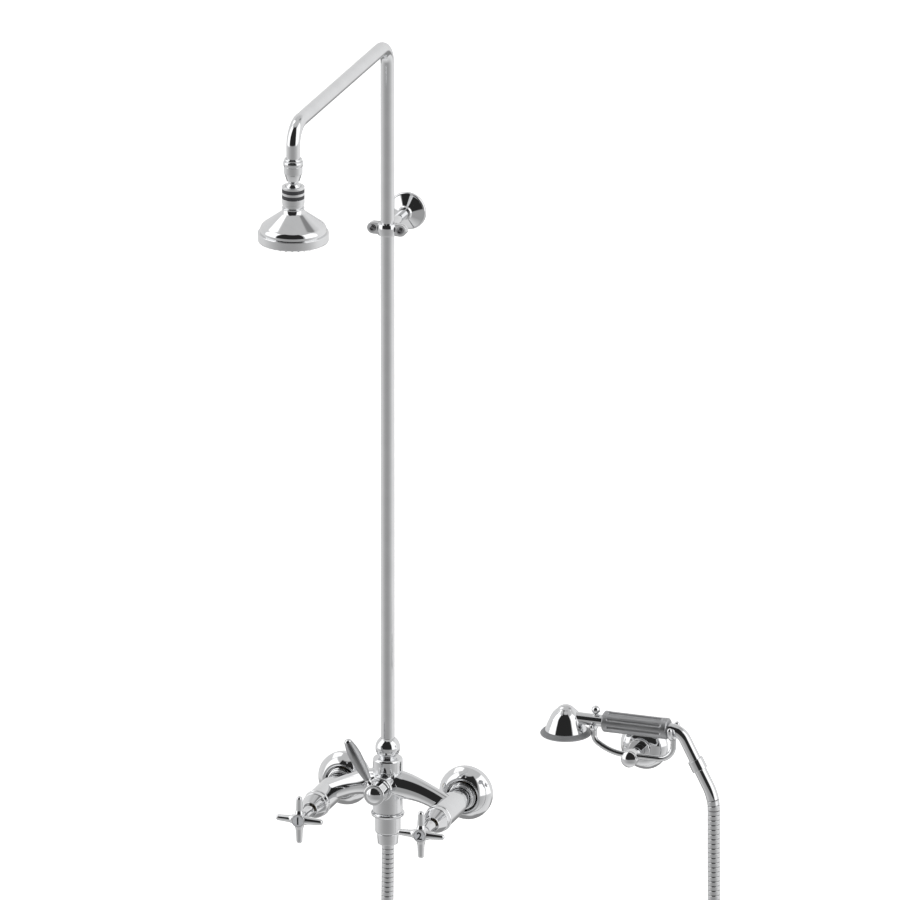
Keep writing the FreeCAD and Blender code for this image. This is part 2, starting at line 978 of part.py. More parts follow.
def diverter_pieces():
    """The diverter valve on the front of the mixer, and its lever."""
    base = (0, 0, s.bossHeight)
    bore = s.spindleRadius + s.runningGap
    end = s.diverterStart + s.diverterCartridgeLength
    turned(
        "diverter_cartridge",
        [
            (0, s.diverterStart),
            (s.cartridgeRadius, s.diverterStart),
            (s.cartridgeRadius, end),
            (bore, end),
            (bore, end - s.diverterBore),
            (0, end - s.diverterBore),
        ],
        base,
        OUT,
    )
    inner, skirt = s.cartridgeRadius + s.looseGap, s.cartridgeRadius + s.looseGap + s.skirtWall
    seat = s.bossFront
    ring = seat + s.diverterRingLength
    nose = ring + s.diverterNoseLength
    turned(
        "diverter_bonnet",
        [
            (inner, seat - s.skirtLength + s.looseGap),
            (skirt, seat - s.skirtLength + s.looseGap),
            (skirt, seat),
            (s.diverterRingRadius - s.bonnetRingBulge, seat),
            (
                s.diverterRingRadius - s.bonnetRingBulge,
                ring,
                bulge(s.diverterRingLength, s.bonnetRingBulge),
            ),
            (s.diverterNoseRadius, ring),
            (s.diverterNoseRadius, nose),
            (s.spindleRadius + s.looseGap, nose),
            (s.spindleRadius + s.looseGap, end + s.looseGap),
            (inner, end + s.looseGap),
        ],
        base,
        OUT,
    )
    back = nose + s.looseGap
    socket = back + s.leverHubSocket
    turned(
        "diverter_spindle",
        [
            (0, end - s.diverterBore + s.looseGap),
            (s.spindleRadius, end - s.diverterBore + s.looseGap),
            (s.spindleRadius, socket - s.seatGap),
            (0, socket - s.seatGap),
        ],
        base,
        OUT,
    )
    face = back + s.leverHubLength
    dome_radius = s.leverHubRadius * 0.7
    dome_start = face + s.leverHubDome * 0.45
    hub = new_body("diverter_hub", base, Rotation(Vector(0, -1, 0), 1), s.leverTilt)
    add_turned(
        hub,
        "Hub",
        [
            (bore, back),
            (s.leverHubRadius, back),
            (s.leverHubRadius, face),
            (s.leverHubRadius - s.nutStep * 1.5, face + s.nutStep * 1.5, s.nutStep * 1.5),
            (dome_radius, face + s.nutStep * 1.5),
            (dome_radius, dome_start),
            (
                0,
                face + s.leverHubDome,
                bulge(dome_radius * 2, s.leverHubDome * 0.55),
            ),
            (0, socket),
            (bore, socket),
        ],
        rotation=OUT,
    )
    cut_turned(
        hub,
        "LeverHole",
        [
            (0, s.leverRodStart - s.seatGap),
            (s.leverRodRadius + s.runningGap, s.leverRodStart - s.seatGap),
            (s.leverRodRadius + s.runningGap, s.leverHubRadius * 2),
            (0, s.leverHubRadius * 2),
        ],
        (0, -s.leverPlane, 0),
    )
    lever_pieces()


def lever_pieces():
    """The lever, along its own axis from the diverter's: a neck, a barrel-shaped grip, a tip."""
    base = (0, -s.leverPlane, s.bossHeight)
    lean = Rotation(Vector(0, -1, 0), 1)
    neck, grip = s.leverHubRadius + s.looseGap, s.leverGripStart
    rod, core = s.leverRodRadius, s.leverCoreRadius
    tip, widest = grip + s.leverGripLength, grip + s.leverGripSwell + s.seatGap
    turned(
        "lever_rod",
        [
            (0, s.leverRodStart),
            (rod, s.leverRodStart),
            (rod, neck),
            (s.leverNeckRadius, neck),
            (rod + s.looseGap, grip - rod * 0.8, -s.leverNeckRadius * 2),
            (s.leverGripRadius, grip - rod * 0.3),
            (s.leverGripRadius, grip),
            (core, grip),
            (core, tip + s.leverTipLength / 2),
            (0, tip + s.leverTipLength / 2),
        ],
        base,
        lean,
        s.leverTilt,
    )
    turned(
        "lever_grip",
        [
            (core + s.runningGap, grip + s.seatGap),
            (s.leverGripRadius, grip + s.seatGap),
            (s.leverGripWidest, widest, easing(s.leverGripSwell, s.leverGripWidest - s.leverGripRadius)),
            (s.leverTipRadius, tip, easing(tip - widest, s.leverGripWidest - s.leverTipRadius)),
            (core + s.runningGap, tip),
        ],
        base,
        lean,
        s.leverTilt,
    )
    turned(
        "lever_tip",
        [
            (core + s.runningGap, tip + s.seatGap),
            (s.leverTipRadius, tip + s.seatGap),
            (s.leverTipRadius * 0.9, tip + s.leverTipLength * 0.5, s.leverTipLength * 2),
            (0, tip + s.leverTipLength, bulge(s.leverTipRadius * 1.8, s.leverTipLength * 0.5)),
            (0, tip + s.leverTipLength / 2 + s.seatGap),
            (core + s.runningGap, tip + s.leverTipLength / 2 + s.seatGap),
        ],
        base,
        lean,
        s.leverTilt,
    )


def riser_pieces():
    """The collar and ball nut that the riser stands in, and the riser with its arm."""
    base = (0, -s.riserDistance, 0)
    bore, plug = s.pipeRadius + s.seatGap, s.chamberRadius - s.seatGap
    top = s.bodyTop + s.collarLength
    neck = top + s.collarNeckLength
    edge = s.nutStep / 2
    turned(
        "riser_collar",
        [
            (bore, s.bodyTop - s.plugLength),
            (plug, s.bodyTop - s.plugLength),
            (plug, s.bodyTop),
            (s.collarRadius, s.bodyTop),
            (s.collarRadius, top - s.collarRound),
            (s.collarRadius - s.collarRound, top, s.collarRound),
            (s.collarNeckRadius, top),
            (s.collarNeckRadius, neck - edge),
            (s.collarNeckRadius - edge, neck, edge),
            (bore, neck),
        ],
        base,
    )
    low = s.ballNutHeight - neck
    high = root(s.ballNutRadius * s.ballNutRadius - (bore + edge) * (bore + edge))
    turned(
        "riser_ball_nut",
        [
            (bore, neck),
            (root(s.ballNutRadius * s.ballNutRadius - low * low), neck),
            (bore + edge, s.ballNutHeight + high, s.ballNutRadius),
            (bore, s.ballNutHeight + high),
        ],
        base,
    )
    pipe = new_body("riser_pipe", base)
    start = s.bodyTop - s.plugLength + s.nutStep
    add_pipe(
        pipe,
        "Tube",
        [
            (0, start),
            (0, s.armHeight - s.pipeBend),
            (s.pipeBend, s.armHeight, -s.pipeBend),
            (s.armReach - s.pipeBend, s.armHeight),
            (s.armReach, s.armHeight - s.pipeBend, -s.pipeBend),
            (s.armReach, arm_end()),
        ],
        (0, 0, 0),
        SIDEWAYS,
        (s.pipeRadius, s.pipeRadius - s.pipeWall),
        (0, 0, start),
        UP,
    )


def outlet_pieces():
    """The lower outlet and the nut that holds the hose on it."""
    base = (0, -s.riserDistance, 0)
    ring_end = s.bodyBottom - s.outletRingLength
    end = s.bodyBottom - s.outletLength
    ring = s.outletRingRadius - s.outletRingLength * 0.45
    plug = s.chamberRadius - s.seatGap
    turned(
        "lower_outlet",
        [
            (s.outletBore, end - s.threadLength),
            (s.threadRadius, end - s.threadLength),
            (s.threadRadius, end),
            (s.outletRadius - s.outletRound, end),
            (s.outletRadius, end + s.outletRound, s.outletRound),
            (s.outletRadius, ring_end),
            (ring, ring_end),
            (ring, s.bodyBottom, bulge(s.outletRingLength, s.outletRingLength * 0.45)),
            (plug, s.bodyBottom),
            (plug, s.bodyBottom + s.plugLength),
            (s.outletBore, s.bodyBottom + s.plugLength),
        ],
        base,
    )
    top = end - s.looseGap * 2
    bottom = hose_start()
    floor = bottom + s.hoseNutFloor
    edge = s.nutStep
    turned(
        "hose_nut",
        [
            (s.hoseBore + s.looseGap, bottom),
            (s.hoseNutEndRadius - edge, bottom),
            (s.hoseNutEndRadius, bottom + edge, edge),
            (s.hoseNutRadius, top - s.hoseNutLength * 0.3),
            (s.hoseNutRadius, top - edge),
            (s.hoseNutRadius - edge, top, edge),
            (s.threadRadius + s.seatGap, top),
            (s.threadRadius + s.seatGap, floor),
            (s.hoseBore + s.looseGap, floor),
        ],
        base,
    )
    turned(
        "hose_washer",
        [
            (s.hoseBore + s.looseGap, floor),
            (s.threadRadius, floor),
            (s.threadRadius, end - s.threadLength),
            (s.hoseBore + s.looseGap, end - s.threadLength),
        ],
        base,
    )


def hose_start():
    """The height of the hose nut's lower face, where the hose begins."""
    return s.bodyBottom - s.outletLength - s.looseGap * 2 - s.hoseNutLength


def wall_screw(label, x, z):
    """A screw that is threaded into the wall and, a little thinner, into a rod or a post."""
    return turned(
        label,
        [
            (0, -s.wallScrewDepth),
            (s.wallScrewRadius, s.wallScrewRadius - s.wallScrewDepth),
            (s.wallScrewRadius, -s.wallScrewStart),
            (s.wallScrewShank, -s.wallScrewStart),
            (s.wallScrewShank, s.wallScrewReach),
            (0, s.wallScrewReach),
        ],
        (x, 0, z),
        OUT,
    )


def screw_hole():
    return [
        (0, 0),
        (s.wallScrewShank + s.runningGap, 0),
        (s.wallScrewShank + s.runningGap, s.wallScrewReach + s.looseGap),
        (0, s.wallScrewReach + s.looseGap),
    ]


def clamp_half(label, front):
    """Half of the clamp round the riser, with two ears. The rear half has the rod to the wall."""
    body = new_body(label, (0, -s.riserDistance, s.bracketHeight))
    half, ear = s.clampHeight / 2, s.clampEarThickness
    hole = s.clampScrewSpacing / 2
    if not front:
        add_turned(
            body,
            "Rod",
            [
                (0, s.nutStep / 2),
                (s.bracketRodRadius, s.nutStep / 2),
                (s.bracketRodRadius, s.riserDistance - s.clampRadius / 2),
                (0, s.riserDistance - s.clampRadius / 2),
            ],
            (0, s.riserDistance, 0),
            OUT,
        )
    add_turned(
        body,
        "Ring",
        [
            (0, -half),
            (s.clampRadius, -half),
            (s.clampRadius, half, bulge(s.clampHeight, s.clampBulge)),
            (0, half),
        ],
    )
    add_pad(
        body,
        "Ears",
        [
            (hole, -half),
            (hole + half, 0, half),
            (hole, half, half),
            (-hole, half),
            (-hole - half, 0, half),
            (-hole, -half, half),
        ],
        ear,
        (0, -s.looseGap if front else ear + s.looseGap, 0),
        STANDING,
    )
    wide, deep = s.clampScrewSpacing, s.riserDistance * 2
    split = -s.looseGap if front else s.looseGap
    far = deep if front else -deep
    corners = [(-wide, split), (wide, split), (wide, far), (-wide, far)]
    cut_through(body, "Split", corners if front else corners[::-1], (0, 0, 0), UP)
    bore = s.pipeRadius + s.runningGap
    cut_turned(body, "Bore", [(0, -half * 2), (bore, -half * 2), (bore, half * 2), (0, half * 2)])
    for side, name in ((-1, "Left"), (1, "Right")):
        cut_turned(
            body,
            name + "Hole",
            [
                (0, -ear * 2),
                (s.screwRadius + s.seatGap, -ear * 2),
                (s.screwRadius + s.seatGap, ear * 2),
                (0, ear * 2),
            ],
            (hole * side, 0, 0),
            OUT,
        )
    if not front:
        cut_turned(body, "WallHole", screw_hole(), (0, s.riserDistance, 0), OUT)


def bracket_pieces():
    """The upper bracket, which holds the riser off the wall."""
    base = (0, 0, s.bracketHeight)
    rod = s.bracketRodRadius + s.seatGap
    rim, depth = s.bracketFlangeRim, s.bracketFlangeDepth
    turned(
        "bracket_flange",
        [
            (rod, 0),
            (s.bracketFlangeRadius, 0),
            (s.bracketFlangeRadius, rim),
            (s.bracketFlangeRadius - rim, rim * 2, rim),
            (s.bracketFlangeNeck + rim / 2, depth - rim),
            (s.bracketFlangeNeck, depth),
            (rod, depth),
        ],
        base,
        OUT,
    )
    clamp_half("clamp_rear", False)
    clamp_half("clamp_front", True)
    face = s.riserDistance + s.looseGap + s.clampEarThickness
    back = s.riserDistance - s.looseGap - s.clampEarThickness
    head, radius = face + s.clampHeadLength, s.clampHeadRadius
    outline = [
        (0, back),
        (s.screwRadius, back),
        (s.screwRadius, face),
        (radius, face),
        (radius, face + s.clampHeadLength / 2),
        (radius / 2, head, radius),
        (radius / 2, face + s.clampHeadLength / 4),
        (0, face + s.clampHeadLength / 4),
    ]
    screws = [
        turned(f"clamp_screw_{name}", outline, (s.clampScrewSpacing * side, 0, s.bracketHeight), OUT)
        for side, name in ((-0.5, "left"), (0.5, "right"))
    ]
    group("clamp_screws", screws)


def swivel_pieces():
    """The nut at the arm's end, the ball stud under it, its seat and the socket nut."""
    base = (0, -s.riserDistance - s.armReach, 0)
    bottom, length = arm_end() - s.endNutSkirt, s.endNutLength
    bore, edge = s.pipeRadius + s.seatGap, s.nutStep
    ring = bottom + length + s.looseGap * 2
    lip = ring + s.endNutRingLength
    turned(
        "arm_end_nut",
        [
            (s.stemThreadRadius + s.runningGap, bottom),
            (s.endNutRadius - edge, bottom),
            (s.endNutRadius, bottom + edge, edge),
            (s.endNutRadius, bottom + length),
            (s.endNutRadius - edge / 2, bottom + length),
            (s.endNutRadius - edge / 2, ring),
            (s.endNutRingRadius, ring),
            (s.endNutRingRadius, lip, bulge(s.endNutRingLength, s.nutStep / 2)),
            (s.endNutLipRadius, lip),
            (s.endNutLipRadius, lip + s.endNutLipLength, bulge(s.endNutLipLength, s.nutStep / 2)),
            (bore, lip + s.endNutLipLength),
            (bore, arm_end() - s.seatGap),
            (s.stemThreadRadius + s.runningGap, arm_end() - s.seatGap),
        ],
        base,
    )
    radius, centre, neck = s.ballRadius, ball_height(), s.stemNeckRadius
    below = root(radius * radius - s.stemBore * s.stemBore)
    above = root(radius * radius - neck * neck)
    flare = s.endNutRadius - edge
    turned(
        "head_ball",
        [
            (s.stemBore, centre - below),
            (radius, centre, radius),
            (neck, centre + above, radius),
            (neck, bottom - s.stemTaper - edge * 2),
            (s.stemShoulderRadius, bottom - s.stemTaper - edge),
            (flare, bottom - edge),
            (flare, bottom),
            (s.stemThreadRadius, bottom),
            (s.stemThreadRadius, arm_end() - s.seatGap),
            (s.stemBore, arm_end() - s.seatGap),
        ],
        base,
    )
    inner = radius + s.seatGap
    outer = inner + s.seatThickness
    turned(
        "head_seat",
        [
            place_on(inner, -65) + (-inner,),
            place_on(outer, -65),
            place_on(outer, -10) + (outer,),
            place_on(inner, -10),
        ],
        base,
    )
    socket_nut(base, radius, outer)


def place_on(radius, angle):
    """A point of the ball's outline, at an angle above the ball's centre."""
    turn = as_size(angle)
    return (radius * cosine(turn), ball_height() + radius * sine(turn))


def socket_nut(base, radius, seat):
    hollow, mouth = seat + s.looseGap, radius + s.looseGap
    rise = socket_top() - ball_height()
    outside, groove = s.socketRadius, s.socketRadius - s.bandDepth
    thread = s.headNeckRadius + s.seatGap
    outline = [(thread, socket_bottom()), (outside, socket_bottom())]
    for number in (1, 0):
        top = socket_top() - s.bandTop - s.bandSpacing * number
        outline += [
            (outside, top - s.bandLength),
            (groove, top - s.bandLength),
            (groove, top),
            (outside, top),
        ]
    outline += [
        (outside, socket_top() - s.nutStep / 2),
        (outside - s.nutStep / 2, socket_top(), s.nutStep / 2),
        (root(mouth * mouth - rise * rise), socket_top()),
        place_on(mouth, 8) + (-mouth,),
        place_on(hollow, 8),
        (hollow, ball_height(), -hollow),
        (thread, ball_height() - root(hollow * hollow - thread * thread), -hollow),
    ]
    turned("head_socket_nut", outline, base)
    bands = []
    for number in (0, 1):
        top = socket_top() - s.bandTop - s.bandSpacing * number
        bands.append(
            turned(
                f"socket_band_{number}",
                [
                    (groove, top - s.bandLength),
                    (outside, top - s.bandLength),
                    (outside, top),
                    (groove, top),
                ],
                base,
            )
        )
    group("socket_bands", bands)


def head_pieces():
    """The overhead shower's shell, its spray face and the nozzles."""
    base = (0, -s.riserDistance - s.armReach, 0)
    top, wall = socket_bottom(), s.headWall
    slope = s.headConeSlope
    throat = top - s.headThroatDrop
    cone = throat - (s.headConeStart - s.headThroatRadius) * 1.5
    run = s.headShoulderRadius - s.headConeStart
    drop = run * (sine(slope) / cosine(slope))
    shoulder = cone - drop
    round_out = s.headRadius - s.headShoulderRadius
    edge = shoulder - round_out * 1.1
    skirt = edge - s.headSkirt
    turned(
        "head_shell",
        [
            (s.headRadius - wall, skirt),
            (s.headRadius, skirt),
            (s.headRadius, edge),
            (s.headShoulderRadius, shoulder, round_out * 1.4),
            (s.headConeStart, cone),
            (s.headThroatRadius, throat, s.headThroatDrop * -0.8),
            (s.headRingRadius, throat + s.nutStep),
            (s.headRingRadius, throat + s.nutStep * 3, bulge(s.nutStep * 2, s.nutStep / 2)),
            (s.headGrooveRadius, throat + s.nutStep * 3.4),
            (s.headGrooveRadius, top - s.nutStep * 3),
            (s.headCollarRadius, top - s.nutStep * 2.4),
            (s.headCollarRadius, top),
            (s.headNeckRadius, top),
            (s.headNeckRadius, top + s.headNeckLength),
            (s.headBore, top + s.headNeckLength),
            (s.headBore, cone),
            (s.headConeStart - wall, cone - wall),
            (s.headShoulderRadius - wall, shoulder - wall),
            (s.headRadius - wall, edge - wall / 2, round_out * -1.6),
        ],
        base,
    )
    bottom = skirt - s.faceLength
    inner = s.headRadius - wall - s.looseGap
    turned(
        "head_face",
        [
            (0, bottom),
            (s.faceRadius - s.faceRound, bottom),
            (s.faceRadius, bottom + s.faceRound, s.faceRound),
            (s.faceRadius, skirt - s.faceRound / 2),
            (s.faceRadius - s.faceRound / 2, skirt, s.faceRound / 2),
            (inner - wall, skirt),
            (inner - wall, bottom + s.facePlate),
            (0, bottom + s.facePlate),
        ],
        base,
    )
    nozzles("head_nozzles", base, bottom, HEAD_RINGS, s.nozzleRingStep, s.nozzleRadius)


def nozzles(label, base, height, rings, step, radius):
    """Rings of small conical nozzles, six more in each, that stand under a spray face."""
    tip, length = radius.value * 0.7, s.nozzleLength.value
    cones = []
    for number in range(rings):
        count = max(1, 6 * number)
        for turn in range(count):
            angle = 2 * math.pi * turn / count
            way = Vector(math.cos(angle), math.sin(angle), 0) * (number * step.value)
            cones.append(Part.makeCone(radius.value, tip, length, way, Vector(0, 0, -1)))
    feature = doc.addObject("Part::Feature", label)
    feature.Label = label
    feature.Shape = Part.makeCompound(cones)
    put(feature, (base[0], base[1], as_size(base[2]) + height))


def cradle_pieces():
    """The wall flange, post, fork and knob that hold the hand shower."""
    x, z = s.cradleDistance, s.cradleHeight
    base = (x, 0, z)
    post = s.postRadius + s.seatGap
    rim, dome, ring = s.cradleFlangeRim, s.cradleFlangeDome, s.cradleRingRadius
    run = s.cradleFlangeRadius - ring
    slant = root(run * run + dome * dome)
    top = rim + dome + s.cradleRingLength
    turned(
        "cradle_flange",
        [
            (post, 0),
            (s.cradleFlangeRadius, 0),
            (s.cradleFlangeRadius, rim),
            (ring, rim + dome, bulge(slant, dome / 4)),
            (ring, top - s.nutStep),
            (ring - s.nutStep, top, s.nutStep),
            (post, top),
        ],
        base,
        OUT,
    )
    eye_back = s.handsetDistance - s.forkEyeLength / 2
    eye_front = s.handsetDistance + s.forkEyeLength / 2
    end = eye_back - s.seatGap
    stud_end = end + s.postStudLength
    hole = s.wallScrewShank + s.runningGap
    turned(
        "cradle_post",
        [
            (hole, s.nutStep / 2),
            (s.postRadius, s.nutStep / 2),
            (s.postRadius, end - s.nutStep),
            (s.postRadius - s.nutStep, end, s.nutStep),
            (s.postStudRadius, end),
            (s.postStudRadius, stud_end),
            (0, stud_end),
            (0, s.wallScrewReach + s.looseGap),
            (hole, s.wallScrewReach + s.looseGap),
        ],
        base,
        OUT,
    )
    back = eye_front + s.seatGap
    bore = s.postStudRadius + s.seatGap
    turned(
        "cradle_knob",
        [
            (bore, back),
            (s.knobRadius - s.nutStep, back),
            (s.knobRadius, back + s.nutStep, s.nutStep),
            (s.knobRadius, back + s.knobLength),
            (0, back + s.knobLength + s.knobDome, bulge(s.knobRadius * 2, s.knobDome)),
            (0, stud_end + s.seatGap),
            (bore, stud_end + s.seatGap),
        ],
        base,
        OUT,
    )
    fork(base, eye_back, eye_front)


def fork(base, eye_back, eye_front):
    """A bent wire fork: an eye on the post, a crutch under the stem and a yoke round the elbow."""
    x, _, z = base
    body = new_body("cradle_fork", (x, -s.handsetDistance, z))
    wire, tine = s.forkWireRadius, s.tineRadius
    bore = s.postStudRadius + s.seatGap
    half, edge = s.forkEyeLength / 2, s.nutStep
    add_turned(
        body,
        "Eye",
        [
            (bore, -half),
            (s.forkEyeRadius - edge, -half),
            (s.forkEyeRadius, edge - half, edge),
            (s.forkEyeRadius, half - edge),
            (s.forkEyeRadius - edge, half, edge),
            (bore, half),
        ],
        rotation=OUT,
    )
    rise = handset_height() - s.cradleHeight
    turn, long, curl = s.forkLeftTurn, s.forkLeftRadius, s.forkLeftCurl
    first = (s.forkStart + long * sine(turn), s.forkArmRise + long * (1 - cosine(turn)))
    crutch_x = first[0] + curl * (1 - sine(turn))
    crutch = s.stemRadius + wire + s.looseGap
    add_pipe(
        body,
        "LeftArm",
        [
            (-s.forkStart, s.forkArmRise),
            (-first[0], first[1], -long),
            (-crutch_x, first[1] + curl * cosine(turn), -curl),
            (-crutch_x, rise - crutch),
        ],
        (0, 0, 0),
        STANDING,
        (wire,),
        (-s.forkStart, 0, s.forkArmRise),
        ALONG,
    )
    spread = s.crutchSpread
    side, up = crutch * sine(spread), rise - crutch * cosine(spread)
    cradle = [(-side, up), (0, rise - crutch, crutch), (side, up, crutch)]
    saddle(body, "Crutch", -crutch_x, cradle, wire, spread)
    yoke_x = s.forkRightRun + s.forkRightRadius
    reach = s.tineSpacing / 2
    low = rise - s.stemRadius - s.yokeGap - tine
    add_pipe(
        body,
        "RightArm",
        [
            (s.forkStart, s.forkArmRise),
            (yoke_x - s.forkRightRadius, s.forkArmRise),
            (yoke_x, s.forkArmRise + s.forkRightRadius, s.forkRightRadius),
            (yoke_x, low),
        ],
        (0, 0, 0),
        STANDING,
        (wire,),
        (s.forkStart, 0, s.forkArmRise),
        ALONG,
    )
    tips, bend = low + reach + s.tineRise - tine, low + reach
    yoke = [(-reach, tips), (-reach, bend), (0, low, reach), (reach, bend, reach), (reach, tips)]
    saddle(body, "Yoke", yoke_x, yoke, tine, as_size(90))


def saddle(body, name, x, path, radius, spread):
    """A wire that bends up on both sides of the hand shower, with round tips."""
    add_pipe(
        body,
        name,
        path,
        (x, 0, 0),
        SIDEWAYS,
        (radius,),
        (x, -path[0][0], path[0][1]),
        Rotation(Vector(1, 0, 0), 1),
        spread + 90,
    )
    for number, point in enumerate((path[0], path[-1])):
        add_turned(body, f"{name}Tip{number}", ball(radius), (x, -point[0], point[1]))


def bell_outline(inset):
    """The bell's outline, from its base to its top, drawn in by an inset."""
    top, low, high = s.bellTopRadius - inset * 0.8, s.bellTopRise - inset * 0.7, s.bellRise - inset
    return [
        (s.bellRadius - inset, -s.bellDepth),
        (s.bellMidRadius - inset, -s.bellMidDepth - inset / 4, s.bellRadius * 3),
        (top, low, s.bellRadius),
        (0, high, bulge(top * 2, high - low)),
        (0, -s.bellDepth),
    ]


def handset_pieces():
    """The hand shower: bell and stem in one casting, rim, spray face, finial, grip and elbow."""
    y, z = -s.handsetDistance, handset_height()
    bell = new_body("handset_bell", (bell_x(), y, z))
    stem_end = grip_x() - bell_x() - s.seatGap
    core = s.coreRadius + s.seatGap
    finial = finial_x() - bell_x()
    add_turned(bell, "Dome", bell_outline(as_size(0)))
    add_turned(
        bell,
        "Stem",
        [(0, s.stemRadius), (s.stemRadius, s.stemRadius), (s.stemRadius, stem_end), (0, stem_end)],
        rotation=ALONG,
    )
    add_turned(
        bell,
        "FinialSeat",
        [
            (0, 0),
            (s.finialSeatRadius, 0),
            (s.finialSeatRadius, s.finialSeatHeight),
            (0, s.finialSeatHeight),
        ],
        (finial, 0, 0),
    )
    cut_turned(bell, "Hollow", bell_outline(s.bellWall))
    cut_turned(bell, "StemBore", [(0, 0), (core, 0), (core, stem_end), (0, stem_end)], rotation=ALONG)
    cut_turned(
        bell,
        "FinialHole",
        [
            (0, 0),
            (s.screwRadius + s.runningGap, 0),
            (s.screwRadius + s.runningGap, s.finialSeatHeight),
            (0, s.finialSeatHeight),
        ],
        (finial, 0, 0),
    )
    neck, ball_radius, height = s.finialNeckRadius, s.finialBallRadius, s.finialBallHeight
    turned(
        "handset_finial",
        [
            (0, s.stemRadius - s.nutStep),
            (s.screwRadius, s.stemRadius - s.nutStep),
            (s.screwRadius, s.finialSeatHeight),
            (neck, s.finialSeatHeight),
            (neck, height - root(ball_radius * ball_radius - neck * neck)),
            (ball_radius, height, ball_radius),
            (0, height + ball_radius, ball_radius),
        ],
        (finial_x(), y, z),
    )
    rim_pieces(y, z)
    grip_piece(y, z)
    elbow_pieces(y, z)


def rim_pieces(y, z):
    """The rounded rim under the bell, and the spray face in it."""
    top = -s.bellDepth
    bottom = top - s.rimThickness
    slope, slant = s.rimRadius - s.rimTopRadius, s.rimThickness - s.rimRound
    turned(
        "handset_rim",
        [
            (s.rimBore, bottom),
            (s.rimRadius - s.rimRound, bottom),
            (s.rimRadius, bottom + s.rimRound, s.rimRound),
            (s.rimTopRadius, top, bulge(root(slope * slope + slant * slant), s.rimRound / 3)),
            (s.rimBore, top),
        ],
        (bell_x(), y, z),
    )
    low, disc = bottom + s.sprayInset, s.rimBore - s.runningGap
    turned(
        "handset_face",
        [(0, low), (disc, low), (disc, low + s.sprayThickness), (0, low + s.sprayThickness)],
        (bell_x(), y, z),
    )
    nozzles("handset_nozzles", (bell_x(), y, z), low, SPRAY_RINGS, s.sprayRingStep, s.nozzleRadius)


def grip_piece(y, z):
    """The fluted grip."""
    grip = new_body("handset_grip", (grip_x(), y, z), ALONG)
    radius, length, chamfer = s.gripRadius, s.gripLength, s.gripChamfer
    bore, flute = s.coreRadius + s.seatGap, s.fluteRadius
    add_turned(
        grip,
        "Barrel",
        [
            (bore, 0),
            (radius - chamfer, 0),
            (radius, chamfer),
            (radius, length - chamfer),
            (radius - chamfer, length),
            (bore, length),
        ],
    )
    start, end = s.fluteMargin, length - s.fluteMargin
    cut = cut_turned(
        grip,
        "Flute",
        [(0, start), (flute, start + flute, flute), (flute, end - flute), (0, end, flute)],
        (s.fluteOffset, 0, 0),
    )
    flutes = grip.newObject("PartDesign::PolarPattern", "Flutes")
    flutes.Originals = [cut]
    flutes.Axis = (next(f for f in grip.Origin.OriginFeatures if f.Role == "Z_Axis"), [""])
    flutes.Angle = 360
    flutes.Occurrences = FLUTES
    grip.Tip = flutes


def elbow_pieces(y, z):
    """The tube through the grip, bent down behind it, and what joins it to the hose."""
    tube = new_body("handset_tube", (0, y, z))
    turn, bend = s.elbowTurn, s.elbowRadius
    ahead, down = cosine(turn), sine(turn)
    half_turn = (1 - ahead) / down
    reach = bend * half_turn
    start = grip_x() + s.gripLength + s.seatGap
    inner = s.coreRadius - s.coreWall
    last = s.elbowLength + s.elbowInsert
    add_turned(
        tube,
        "Core",
        [
            (inner, -s.coreInsert),
            (s.coreRadius, -s.coreInsert),
            (s.coreRadius, s.gripLength + s.nutStep),
            (inner, s.gripLength + s.nutStep),
        ],
        (grip_x(), 0, 0),
        ALONG,
    )
    add_pipe(
        tube,
        "Elbow",
        [
            (start, 0),
            (elbow_x() - reach, 0),
            (elbow_x() + reach * ahead, -reach * down, -bend),
            (elbow_x() + last * ahead, -last * down),
        ],
        (0, 0, 0),
        STANDING,
        (s.stemRadius, inner),
        (start, 0, 0),
        ALONG,
    )
    nut = s.elbowLength
    bore, wide = s.stemRadius + s.seatGap, s.connectorRadius + s.seatGap
    collar, edge = s.hoseCollarRadius, s.nutStep / 2
    turned(
        "handset_nut",
        [
            (bore, 0),
            (collar - edge, 0),
            (collar, edge, edge),
            (collar, s.hoseCollarLength - edge),
            (collar - edge, s.hoseCollarLength, edge),
            (wide, s.hoseCollarLength),
            (wide, s.elbowInsert + s.seatGap),
            (bore, s.elbowInsert + s.seatGap),
        ],
        (elbow_x() + nut * ahead, y, z - nut * down),
        Rotation(Vector(0, 1, 0), 1),
        turn + 90,
    )
    connector = new_body("hose_connector", (0, y, z))
    begin = last + s.seatGap * 2
    corner = (hose_x() - elbow_x()) / ahead
    back = s.connectorBend * ((1 - down) / ahead)
    fall = -corner * down
    add_pipe(
        connector,
        "Tube",
        [
            (elbow_x() + begin * ahead, -begin * down),
            (elbow_x() + (corner - back) * ahead, -(corner - back) * down),
            (hose_x(), fall - back, -s.connectorBend),
            (hose_x(), connector_end() - handset_height()),
        ],
        (0, 0, 0),
        STANDING,
        (s.connectorRadius, s.hoseBore),
        (elbow_x() + begin * ahead, 0, -begin * down),
        Rotation(Vector(0, 1, 0), 1),
        turn + 90,
    )


def route_points():
    """The hose's points: across from the riser's axis towards the hand shower, and up."""
    across = Vector(hose_x().value, s.riserDistance.value - s.handsetDistance.value, 0)
    start = Vector(0, -s.riserDistance.value, 0)
    first = (0, (hose_start() - s.seatGap).value)
    last = (1, (connector_end() - s.looseGap).value)
    route = (first, *HOSE_ROUTE, last)
    return [start + across * share + Vector(0, 0, height) for share, height in route]


